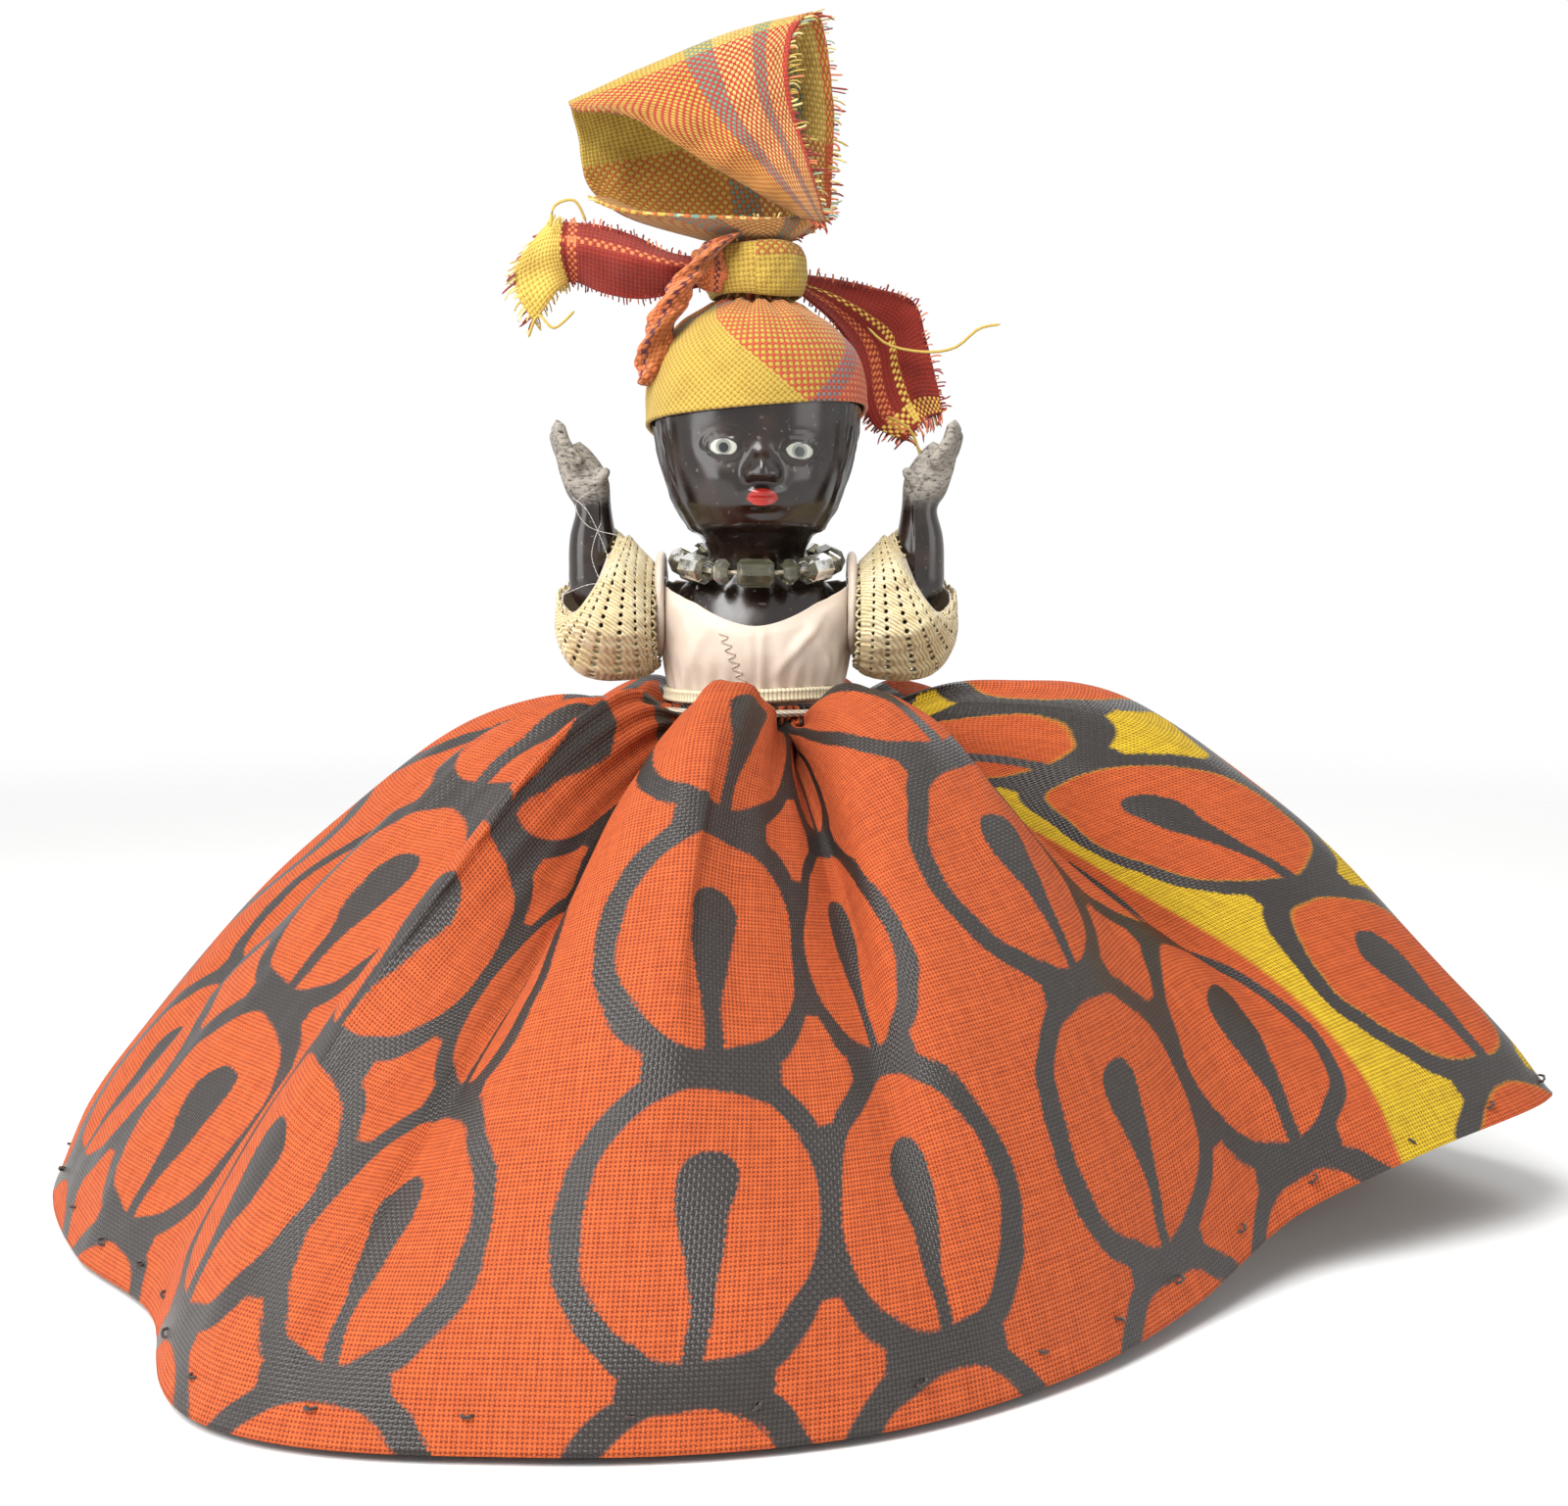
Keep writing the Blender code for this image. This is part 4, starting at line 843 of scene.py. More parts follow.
# Eyes and mouth: how far the face looks aside, places across and above the chin, and half sizes
FACE_ASIDE = 0.0007
EYE_ACROSS = 0.0041
EYE_HEIGHT = CHIN + 0.0093
EYE_TILT = -0.055
EYE_HALF = (0.00148, 0.00090)
PUPIL_RADIUS = 0.00056
MOUTH_HEIGHT = CHIN + 0.0041
MOUTH_HALF = (0.00175, 0.00098)


def painted_face(look):
    """The body's plastic, with the eyes and the lips painted on."""
    made = moulded_plastic("painted_plastic", look)
    x, y, z = made.object_place()
    x = x - FACE_ASIDE
    front = y.ease(-0.008, -0.0075, 1.0, 0.0)
    level = z - EYE_HEIGHT - x * EYE_TILT
    side = abs(x) - EYE_ACROSS
    brushed = made.noise((x, y, z), 1300.0, 2.0)
    lid = ((side / EYE_HALF[0]).square() + (level / EYE_HALF[1]).square()).root() + (brushed - 0.5) * 0.35
    white = lid.ease(0.88, 1.02, 1.0, 0.0) * front
    pupil = (side.square() + (level + 0.00008).square()).root()
    pupil = pupil.ease(PUPIL_RADIUS * 0.85, PUPIL_RADIUS * 1.1, 1.0, 0.0) * front
    iris = (side.square() + level.square()).root().ease(PUPIL_RADIUS * 1.35, PUPIL_RADIUS * 1.6, 1.0, 0.0) * white
    mouth_y = (z - MOUTH_HEIGHT) / MOUTH_HALF[1]
    mouth_x = (x - 0.0001) / MOUTH_HALF[0]
    lips = (mouth_x.square() + mouth_y.square()).root() + (brushed - 0.5) * 0.25
    lips = lips.ease(0.86, 1.0, 1.0, 0.0) * front
    plastic = made.shader.inputs["Base Color"].links[0].from_socket
    aged = made.mix(brushed.ease(0.3, 0.7), tuple(look.eyes), (0.42, 0.44, 0.36))
    painted = made.mix(white, plastic, aged)
    painted = made.mix(iris * 0.8, painted, (0.13, 0.14, 0.13))
    painted = made.mix(pupil, painted, (0.008, 0.009, 0.010))
    painted = made.mix(lips, painted, tuple(look.lips))
    made.link("Base Color", painted)
    return made.material


def pink_nylon(look):
    """Fine, slightly shiny pink nylon."""
    made = Finish("pink_nylon", Roughness=0.48, Specular_IOR_Level=0.45, Sheen_Weight=0.2, Subsurface_Weight=0.08)
    made.shader.inputs["Subsurface Radius"].default_value = (0.001, 0.0007, 0.0005)
    x, y = made.cloth_place()
    height, _ = weave(x, y, 0.16)
    soil = made.noise((x, y), 0.5, 3.0)
    base = made.mix(soil.ease(0.35, 0.75), tuple(look.nylon), (0.62, 0.50, 0.40))
    # Painted shade: slightly darker in the hollows between the weave's threads.
    made.link("Base Color", made.shade(base, height.ease(0.1, 0.7), (0.86, 0.82, 0.79)))
    made.bump(height, 0.00002)
    return made.material


def knitted_lace(look):
    """Cream lace yarn."""
    made = Finish("knitted_lace", Roughness=0.78, Sheen_Weight=0.2, Subsurface_Weight=0.05)
    made.shader.inputs["Subsurface Radius"].default_value = (0.0008, 0.0006, 0.0003)
    x, y, z = made.object_place()
    twist = (((x + y) / MM * 9.0 + z / MM * 14.0)).wave()
    fuzz = made.noise((x, y, z), 2600.0, 2.0)
    soil = made.noise((x, y, z), 300.0, 3.0)
    base = made.mix(soil.ease(0.30, 0.72), tuple(look.lace), (0.74, 0.66, 0.44))
    # Painted shade in the grooves of the yarn's twist, together with random tone from the fuzz noise.
    made.link("Base Color", made.shade(base, (twist * 0.3 + fuzz).ease(0.1, 0.8), (0.66, 0.58, 0.44)))
    made.bump(twist * 0.4 + fuzz, 0.00009)
    return made.material


def elastic_band(look):
    """Woven cream elastic with fine cross ribs."""
    made = Finish("elastic_band", Roughness=0.7, Sheen_Weight=0.1)
    x, y = made.cloth_place()
    ribs = abs((x * (math.pi / 0.45)).wave())
    fibre = made.noise((x, y), 3.0, 2.0)
    base = made.mix(fibre.ease(0.3, 0.7), tuple(look.band), (0.70, 0.63, 0.46))
    # Painted shade: darker in the grooves between the ribs.
    made.link("Base Color", made.shade(base, ribs.ease(0.0, 0.5), (0.62, 0.54, 0.42)))
    made.bump(ribs, 0.00008)
    return made.material


def spun_thread(name, colour):
    """Twisted thread."""
    made = Finish(name, Roughness=0.75, Sheen_Weight=0.15)
    x, y, z = made.object_place()
    twist = ((x + y * 0.7) / MM * 7.0 + z / MM * 16.0).wave()
    # Painted shade: darker in the grooves of the twist.
    made.link("Base Color", made.mix(twist.ease(-0.8, 0.6), tuple(channel * 0.6 for channel in colour), colour))
    made.bump(twist, 0.00005)
    return made.material


def smoky_glass(look):
    """Olive grey glass with a worn, greyish bloom."""
    made = Finish("smoky_glass", Transmission_Weight=0.72, IOR=1.5, Specular_IOR_Level=0.6)
    x, y, z = made.object_place()
    bloom = made.noise((x, y, z), 700.0, 3.0)
    made.link("Base Color", made.mix(bloom.ease(0.4, 0.7), tuple(look.glass), (0.34, 0.31, 0.21)))
    made.link("Roughness", bloom.ease(0.4, 0.75, 0.06, 0.30))
    made.bump(bloom, 0.00004)
    return made.material


def madras(name, look, warp, weft, warp_period, weft_period, turn=45.0, shift=(0.0, 0.0), end=None):
    """Plaid cotton: warp and weft are stripes of their own colours, which show by turns in a plain weave.
    An end is a place along the cloth, in mm, and the colour of the yarns beyond it."""
    made = Finish(name, Roughness=0.85, Sheen_Weight=0.15, Specular_IOR_Level=0.3)
    x, y = made.cloth_place()
    lean = math.radians(turn)
    across = x * math.cos(lean) + y * math.sin(lean) + shift[0]
    along = y * math.cos(lean) - x * math.sin(lean) + shift[1]
    height, over = weave(across, along, look.thread_pitch / MM)
    warp_colour = made.stripes((across / warp_period).repeat(1.0), warp)
    weft_colour = made.stripes((along / weft_period).repeat(1.0), weft)
    base = made.mix(over.ease(-0.25, 0.25), warp_colour, weft_colour)
    if end:
        base = made.mix((y + over * 0.3).ease(end[0], end[0] + 0.5), base, end[1])
    soil = made.noise((x, y), 0.35, 3.0)
    # Painted shade: darker in the hollows between the weave's threads.
    base = made.shade(base, height.ease(0.15, 0.8), (0.58, 0.46, 0.36))
    made.link("Base Color", made.shade(base, soil.ease(0.2, 0.6), (0.84, 0.80, 0.76)))
    made.bump(height, 0.00008)
    return made.material


def frayed_yarn(look):
    """Loose yarns of the plaid: the number in the UV map picks the colour."""
    made = Finish("frayed_yarn", Roughness=0.85, Sheen_Weight=0.2)
    number, _ = made.cloth_place()
    bands = ((0.0, tuple(look.yellow)), (0.25, tuple(look.red)), (0.45, (0.82, 0.66, 0.25)),
             (0.65, tuple(look.teal)), (0.85, tuple(look.orange)))
    made.link("Base Color", made.stripes(number, bands))
    return made.material


# Skirt


def hem_at(angle):
    """Reach past the cushion and lift of the hem at an angle, smooth all the way round."""
    rows = [(HEM[-1][0] - 360, *HEM[-1][1:]), *HEM, (HEM[0][0] + 360, *HEM[0][1:])]
    key = (angle - HEM[0][0]) % 360 + HEM[0][0]
    return share_at(rows, key)


def outside_cushion(radius, height):
    """Pushes a place in a radial section off the cushion, by the cloth's thickness and some ease."""
    gap = CLOTH + SKIRT_EASE
    across = radius / (CUSHION_RADIUS + gap)
    up = max(height - CUSHION_BOTTOM, 0.0) / (CUSHION_HEIGHT + gap)
    size = (across ** CUSHION_POWER + up ** CUSHION_POWER) ** (1 / CUSHION_POWER)
    if size >= 1.0:
        return radius, height
    return radius / size, CUSHION_BOTTOM + (height - CUSHION_BOTTOM) / size


def skirt_waist_radius(angle):
    """Radius of the skirt's neck, outside the blouse at the waist."""
    point = torso_point(angle, WAIST, BLOUSE_OFFSET + TOUCH_GAP * 2 + CLOTH)
    return math.hypot(point.x, point.y)


def skirt_point(fold, share, down):
    """A point of the skirt's outer side: share runs from a fold's valley to the next, down from waist to hem."""
    here = FOLDS[fold]
    there = FOLDS[(fold + 1) % len(FOLDS)]
    turn = 0 if there.top > here.top else 360
    middle = math.sin(math.pi * down ** BULGE_PLACE) ** 2
    bump = math.sin(math.pi * share) ** (here.sharp * (CREASE_TOP + (CREASE_HEM - CREASE_TOP) * down))
    sides = []
    for side in (here, there):
        line = ((side.top, side.deep_top), (side.mid, side.deep_mid), (side.hem, side.deep_hem))
        sides.append(smooth_path(line, down))
    (valley, deep), (next_valley, next_deep) = sides
    wall = math.sin(2 * math.pi * share)
    tilt = here.tilt * max(wall, 0.0) + there.tilt * max(-wall, 0.0)
    angle = valley + (next_valley + turn - valley) * share + tilt * middle
    floor = 1 - (deep + (next_deep - deep) * share)
    blend = floor + (1 + here.crest * middle - floor) * bump

    out_crest, up_crest = smooth_path(CREST_PROFILE, down)
    out_valley, up_valley = smooth_path(VALLEY_PROFILE, down)
    up_crest -= SIDE_CREST_DROP * math.sin(math.radians(angle)) ** 2 * hill(down - 0.28, 0.16)
    out = out_valley + (out_crest - out_valley) * blend
    up = up_valley + (up_crest - up_valley) * blend

    reach, lift = hem_at(angle)
    neck = skirt_waist_radius(angle)
    radius = neck + (CUSHION_RADIUS + reach - neck) * out
    lowest = HEM_CLEARANCE + CLOTH + lift * down ** 1.5
    height = lowest + (WAIST - lowest) * up
    radius, height = outside_cushion(radius, height)
    return polar(radius, angle, height)


def skirt_row(fold, down, columns):
    """Points across one fold, evenly spaced along the cloth, without the last one, and their whole length."""
    fine = 60
    points = [skirt_point(fold, step / fine, down) for step in range(fine + 1)]
    lengths = [0.0]
    for a, b in zip(points, points[1:]):
        lengths.append(lengths[-1] + (b - a).length)
    row = []
    step = 0
    for column in range(columns):
        wanted = lengths[-1] * column / columns
        while lengths[step + 1] < wanted:
            step += 1
        t = (wanted - lengths[step]) / (lengths[step + 1] - lengths[step])
        row.append(points[step].lerp(points[step + 1], t))
    return row, lengths[-1]


# The fold whose crest a column of rings runs down, and how far the hem is from the foot of the print's lattice
FRONT_FOLD = 4
PRINT_RISE = -0.0053
PRINT_ASIDE = 0.0040
GATHERS_PER_FOLD = 7
GATHER_DEPTH = 0.0012


def skirt_ripple(fold, share, down):
    """How far small gathers and soft dents move the cloth along its normal."""
    gathers = math.sin(2 * math.pi * GATHERS_PER_FOLD * share + fold * 1.7) * math.exp(-down / 0.20)
    gathers += 0.5 * math.sin(2 * math.pi * 4 * share + fold * 2.3) * math.exp(-((down - 0.16) / 0.12) ** 2)
    soft = noise.noise(Vector((share * 2.2 + fold * 3.1, down * 2.4, fold * 0.7)))
    small = noise.noise(Vector((share * 6.0 + fold * 7.3, down * 6.5, fold * 1.9)))
    settled = ease(0.0, 0.05, down) * ease(1.0, 0.90, down)
    gathers *= 0.3 + 0.7 * ease(0.0, 0.06, down)
    return gathers * GATHER_DEPTH + (soft * 0.0011 + small * 0.00045) * settled


def make_skirt(settings):
    """The gathered skirt: one sheet of printed cotton from its neck at the waist to its hem."""
    per_fold = settings.columns
    rows = settings.rows
    columns = len(FOLDS) * per_fold
    points = []
    fold_lengths = []
    for step in range(rows + 1):
        down = 1 - step / rows
        made = [skirt_row(fold, down, per_fold) for fold in range(len(FOLDS))]
        points.append([point for row, _ in made for point in row])
        fold_lengths.append([length for _, length in made])

    widths = [max(lengths[fold] for lengths in fold_lengths) for fold in range(len(FOLDS))]
    starts = [sum(widths[:fold]) for fold in range(len(FOLDS) + 1)]
    centre_crest = starts[FRONT_FOLD] + widths[FRONT_FOLD] / 2
    shift = (settings.ring_across + settings.plain_strip) / 2 - centre_crest - PRINT_ASIDE
    climbs = [[0.0] * columns]
    for step in range(1, rows + 1):
        climbs.append([climbs[-1][column] + (points[step][column] - points[step - 1][column]).length
                       for column in range(columns)])

    def uv_at(u, v):
        step = round(v * rows)
        column = round(u * columns)
        fold, place = divmod(column, per_fold)
        if fold == len(FOLDS):
            return (starts[-1] + shift) / MM, (climbs[step][0] + PRINT_RISE) / MM
        length = fold_lengths[step][fold]
        aside = length * (place / per_fold - 0.5)
        bent = abs(aside) / (length / 2)
        spread = abs(aside) + (widths[fold] - length) / 2 * bent ** 4
        along = starts[fold] + widths[fold] / 2 + math.copysign(spread, aside)
        return (along + shift) / MM, (climbs[step][column] + PRINT_RISE) / MM

    bm = bmesh.new()
    sheet_into(bm, columns, rows, lambda u, v: points[round(v * rows)][round(u * columns) % columns], uv_at)
    second = bm.verts.layers.float.new("second_ground")
    shares = {}
    for vert, (step, column) in zip(bm.verts, ((s, c) for s in range(rows + 1) for c in range(columns + 1))):
        shares[vert] = (1 - step / rows, column)
    for vert, (down, column) in shares.items():
        fold, place = divmod(column % columns, per_fold)
        vert[second] = second_ground_at(fold, place / per_fold, down)
    merge(bm, JOIN)
    bm.normal_update()
    moves = []
    for vert in bm.verts:
        down, column = shares[vert]
        fold, place = divmod(column % columns, per_fold)
        moves.append((vert, vert.normal * skirt_ripple(fold, place / per_fold, down)))
    for vert, move in moves:
        vert.co += move
    cloth = add_sheet("skirt_cloth", bm, printed_cotton(settings), "doll", ("skirt",))
    thicken(cloth, CLOTH * 0.6)
    return cloth, points, sum(fold_lengths[0]), sum(climbs[-1]) / columns


def second_ground_at(fold, share, down):
    """How far the print's second ground takes over: on the right-hand fold and the lifted corner of the hem."""
    if fold == 6:
        return ease(0.0, 0.10, share)
    if fold == 7:
        return ease(0.45, 0.20, share)
    if fold == 5:
        return ease(0.76, 0.86, share) * ease(0.72, 0.60, down)
    return 0.0


def make_hem_stitches(points):
    """Small hand stitches a little above the hem."""
    bm = bmesh.new()
    draw = random.Random(11)
    row = 4
    ring = points[row]
    step = 0
    while step < len(ring) - 2:
        start = ring[step]
        across = ring[step + 1] - start
        outward = across.cross(Vector((0, 0, 1))).normalized()
        lift = outward * 0.0004
        ahead = across.normalized() * 0.0010
        rise = Vector((0, 0, 0.0005 * draw.uniform(-1, 1)))
        path = curve_points((start - outward * 0.0004, start + lift * 0.8, start + ahead * 0.6 + lift + rise,
                             start + ahead - outward * 0.0004 + rise), 6)
        thread_into(bm, path, 0.00016, 5)
        travelled = 0.0
        wanted = draw.uniform(0.009, 0.014)
        while travelled < wanted and step < len(ring) - 2:
            travelled += (ring[step + 1] - ring[step]).length
            step += 1
    merge(bm)
    return add_piece("hem_stitches", bm, spun_thread("dark_thread", (0.05, 0.03, 0.025)), "doll")


# Cushion and card


def make_cushion():
    """The stuffed dome, in gores with a sewn seam between them, and its socket for the doll."""
    gores = 8
    socket = max(torso_section(CUSHION_TOP)) + TOUCH_GAP * 3
    bm = bmesh.new()
    profile = [(0.0, BODY_BOTTOM - TOUCH_GAP), (socket, BODY_BOTTOM - TOUCH_GAP)]
    profile += [(socket, BODY_BOTTOM + (CUSHION_TOP - BODY_BOTTOM) * share / 6) for share in range(1, 6)]
    steps = 22
    for step in range(steps + 1):
        turn = math.pi / 2 * step / steps
        radius = CUSHION_RADIUS * math.sin(turn)
        if radius > socket:
            share = min(radius / CUSHION_RADIUS, 1.0)
            dome = CUSHION_HEIGHT * max(1 - share ** CUSHION_POWER, 0.0) ** (1 / CUSHION_POWER)
            profile.append((radius * 0.998, CUSHION_BOTTOM + 0.0008 + dome * 0.98))
    profile += [(CUSHION_RADIUS * 0.985, CUSHION_BOTTOM + 0.0002), (CUSHION_RADIUS * 0.96, CUSHION_BOTTOM)]
    profile.append((0.0, CUSHION_BOTTOM))
    verts = [bm.verts.new((radius, 0, height)) for radius, height in profile]
    edges = [bm.edges.new(pair) for pair in zip(verts, verts[1:])]
    bmesh.ops.spin(bm, geom=verts + edges, cent=(0, 0, 0), axis=(0, 0, 1), angle=2 * math.pi, steps=gores * 16,
                   use_merge=True, use_duplicate=False)
    merge(bm, 1e-5)
    for vert in bm.verts:
        radius = math.hypot(vert.co.x, vert.co.y)
        if radius > socket * 1.05 and vert.co.z > CUSHION_BOTTOM + 0.001:
            gore = math.atan2(vert.co.y, vert.co.x) * gores / (2 * math.pi)
            seam = hill(gore - round(gore), 0.05)
            lumps = noise.noise(vert.co * 90.0) * 0.0006
            shrink = 1 - (0.0012 * seam + 0.0003 + abs(lumps)) / CUSHION_RADIUS
            vert.co.x *= shrink
            vert.co.y *= shrink
            vert.co.z = CUSHION_BOTTOM + (vert.co.z - CUSHION_BOTTOM) * shrink
    muslin = plain_cotton("muslin", (0.66, 0.60, 0.48), 0.0005)
    pad = add_piece("stuffed_dome", bm, muslin, "doll", ("cushion",))
    return pad


# Doll


def face_relief(across, above):
    """How far the face's features stand out of the head, in mm, at mm across and above the chin."""
    across -= FACE_ASIDE / MM
    aside = abs(across)
    eye_level = above - (EYE_HEIGHT - CHIN) / MM - across * EYE_TILT
    relief = -0.55 * hill(aside - 4.0, 2.6) * hill(eye_level, 1.9)
    ball = 1 - ((aside - EYE_ACROSS / MM) / 2.1) ** 2 - (eye_level / 1.45) ** 2
    relief += 0.55 * max(ball, 0.0) ** 0.5
    lid = math.hypot((aside - EYE_ACROSS / MM) / 2.15, (eye_level - 0.1) / 1.5)
    relief += 0.22 * hill(lid - 1.08, 0.12) * ease(-0.6, 0.2, eye_level)
    bridge = ease(10.6, 8.2, above) * ease(5.9, 6.6, above)
    tall = 0.7 + 1.5 * ease(9.6, 7.2, above)
    relief += tall * bridge * hill(aside, 1.15)
    relief += 0.95 * hill(aside - 1.35, 0.62) * hill(above - 6.75, 0.75)
    relief += 0.35 * hill(aside - 5.0, 2.4) * hill(above - 6.2, 2.2)
    relief += 0.55 * hill(across, 2.6) * hill(above - 4.1, 2.0)
    relief += 0.62 * hill(across, 1.45) * hill(above - 4.62, 0.42)
    relief += 0.60 * hill(across, 1.25) * hill(above - 3.58, 0.45)
    relief -= 0.34 * hill(across, 1.6) * hill(above - 4.12, 0.18)
    relief -= 0.25 * hill(across, 1.6) * hill(above - 2.7, 0.5)
    relief += 0.50 * hill(across, 2.4) * hill(above - 1.5, 1.1)
    relief -= 0.18 * hill(across, 0.4) * hill(above - 5.5, 0.5)
    return relief


def hair_relief(angle, above):
    """How far the moulded hair stands out of the head, in mm: strands that hang from under the headcloth."""
    edge = 58 + 10 * ease(14, 4, above)
    grown = ease(edge - 5, edge + 2, abs(angle))
    strand = math.sin(angle * 0.95 + 0.8 * math.sin(above * 0.45 + angle * 0.05))
    strand += 0.5 * math.sin(angle * 2.3 + 1.1 * math.sin(above * 0.7))
    curl = 0.12 * noise.noise(Vector((angle * 0.12, above * 0.8, 0.0)))
    return grown * (0.30 + 0.11 * strand + curl)


def body_point(angle, level):
    """A point on the doll's body: level runs from 0 at the foot to 1 at the neck, and to 2 at the crown."""
    if level <= 1.0:
        height = BODY_BOTTOM + (NECK - BODY_BOTTOM) * 0.98 * level
        return torso_point(angle, height, 0)
    share = level - 1.0
    neck_end = 0.06
    if share < neck_end:
        low = torso_point(angle, BODY_BOTTOM + (NECK - BODY_BOTTOM) * 0.98, 0)
        high = head_point(angle, CHIN, 0)
        mid = around(angle, NECK_RADIUS, NECK_RADIUS, NECK_RADIUS, NECK + 0.0006)
        return Vector(smooth_path([tuple(low), tuple(mid), tuple(high)], share / neck_end))
    rise = (share - neck_end) / (1 - neck_end)
    height = CHIN + HEAD_HEIGHT * 0.99 * math.sin(math.pi / 2 * rise)
    plain = head_point(angle, height, 0)
    above = (height - CHIN) / MM
    relief = face_relief(plain.x / MM, above) * ease(90, 50, abs(angle))
    fade = ease(0.0, 2.0, above) * ease(0.97, 0.80, rise)
    hair = hair_relief(angle, above) * ease(0.0, 1.0, above) * ease(0.95, 0.6, rise)
    return head_point(angle, height, (relief * fade + hair) * MM)


def make_body(settings):
    """Head, neck, torso and legs in one moulding, with face and hair, bored through for the arm elastic."""
    columns = 200
    torso_rows = 50
    head_rows = 130
    rows = torso_rows + head_rows

    def point_at(u, v):
        step = v * rows
        level = step / torso_rows if step <= torso_rows else 1 + (step - torso_rows) / head_rows
        return body_point(face_angle(u), level)

    bm = bmesh.new()
    sheet_into(bm, columns, rows, point_at)
    merge(bm, JOIN)
    close_ends(bm)
    body = add_piece("moulded_body", bm, painted_face(settings), "doll", ("doll_body",))
    reach = TORSO_WIDTH
    cut(body, rod_mesh("bore", (-reach, 0, SHOULDER), (reach, 0, SHOULDER), BORE_RADIUS))
    return body


def face_angle(u):
    """Angle round the head for a share of the columns, which crowd towards the face."""
    t = 2 * u - 1
    return 180 * (0.45 * t + 0.55 * t ** 3)


def arm_path():
    """Points (outwards, towards the back, up) and radii (thick, deep) along an arm, from the shoulder's middle."""
    bend = UPPER_ARM * 0.5
    wrist = bend + FOREARM * 0.62
    return (
        (0.0, 0.0, 0.0, ARM_RADIUS, ARM_RADIUS),
        (UPPER_ARM * 0.35, 0.0, -0.0004, ARM_RADIUS * 1.08, ARM_RADIUS * 1.08),
        (UPPER_ARM * 0.72, 0.0, -0.0004, ARM_RADIUS, ARM_RADIUS),
        (UPPER_ARM * 0.97, -0.0002, bend * 0.42, ARM_RADIUS * 0.97, ARM_RADIUS * 0.97),
        (UPPER_ARM, -0.0004, bend, ARM_RADIUS * 0.96, ARM_RADIUS * 0.96),
        (UPPER_ARM * 1.01, -0.0007, bend + FOREARM * 0.30, ARM_RADIUS * 0.88, ARM_RADIUS * 0.88),
        (UPPER_ARM * 1.0, -0.0010, wrist, WRIST_RADIUS, WRIST_RADIUS * 1.05),
        (UPPER_ARM * 1.08, -0.0013, wrist + HAND_LENGTH * 0.26, WRIST_RADIUS * 1.25, WRIST_RADIUS * 0.8),
        (UPPER_ARM * 1.22, -0.0017, wrist + HAND_LENGTH * 0.50, WRIST_RADIUS * 1.1, WRIST_RADIUS * 0.55),
        (UPPER_ARM * 1.34, -0.0020, wrist + HAND_LENGTH * 0.66, WRIST_RADIUS * 0.8, WRIST_RADIUS * 0.4),
    )


def make_arm(side, finish):
    """An arm bent at the elbow with its cupped hand up. side is -1 for the doll's right and 1 for its left."""
    body = arm_body(side)
    path = arm_path()
    start = Vector((side * SHOULDER_FACE, 0, SHOULDER))

    def middle_at(share):
        out, back, up, thick, deep = smooth_path(path, share)
        return Vector((side * out, back, up)), thick, deep

    def point_at(u, v):
        middle, thick, deep = middle_at(v)
        ahead = middle_at(min(v + 0.01, 1.0))[0] - middle_at(max(v - 0.01, 0.0))[0]
        if v < 0.02:
            ahead = Vector((side, 0, 0))
        sideways = Vector((0, 1, 0))
        across = sideways.cross(ahead.normalized()).normalized()
        turn = 2 * math.pi * u
        return start + middle + across * thick * math.cos(turn) + sideways * deep * math.sin(turn)

    bm = sheet_mesh(36, 60, point_at)
    close_ends(bm)
    wrist = path[6][2]
    palm = start + Vector((side * UPPER_ARM * 1.22, -0.0016, wrist + HAND_LENGTH * 0.46))
    for finger in range(4):
        spread = (finger - 1.5) * FINGER_RADIUS * 1.5
        root = palm + Vector((side * spread * 0.4 - side * 0.0002, spread * 1.15, -spread * 0.3 - 0.0004))
        long = HAND_LENGTH * (0.56 - 0.05 * abs(finger - 1.5))
        tip = root + Vector((side * HAND_LENGTH * 0.24, -0.0004 + spread * 0.25, long))
        bow = (root + tip) / 2 + Vector((side * 0.0005, 0, 0))
        steps = curve_points((root, bow, tip), 8)
        radii = [0.0] + [FINGER_RADIUS * (1.35 - 0.035 * step) for step in range(7)] + [FINGER_RADIUS * 0.45]
        tube_into(bm, steps + [tip + (tip - bow).normalized() * 0.0003], radii + [0.0], 12)
    thumb_root = start + Vector((side * UPPER_ARM * 1.04, -0.0018, wrist + HAND_LENGTH * 0.12))
    thumb_tip = thumb_root + Vector((side * -0.0021, -0.0009, HAND_LENGTH * 0.31))
    thumb = curve_points((thumb_root, (thumb_root + thumb_tip) / 2 + Vector((side * 0.0003, 0, 0)), thumb_tip), 6)
    tube_into(bm, thumb + [thumb_tip + Vector((0, 0, 0.0002))],
              [0.0] + [FINGER_RADIUS * (1.7 - 0.11 * step) for step in range(5)] + [FINGER_RADIUS * 0.7, 0.0], 12)
    merge(bm, JOIN)
    arm = add_piece(f"moulded_{body}", bm, finish, body, (body,))
    remesh = arm.modifiers.new("Moulding", "REMESH")
    remesh.mode = "VOXEL"
    remesh.voxel_size = 0.00017
    smooth = arm.modifiers.new("Smoothing", "SMOOTH")
    smooth.factor = 0.5
    smooth.iterations = 6
    apply_modifiers(arm)
    seam_ridge(arm, start, side, path)
    bore_end = start + Vector((side * 0.0033, 0, 0))
    cut(arm, rod_mesh("bore", start - Vector((side * 0.002, 0, 0)), bore_end, BORE_RADIUS))
    arm.data.shade_smooth()
    return arm


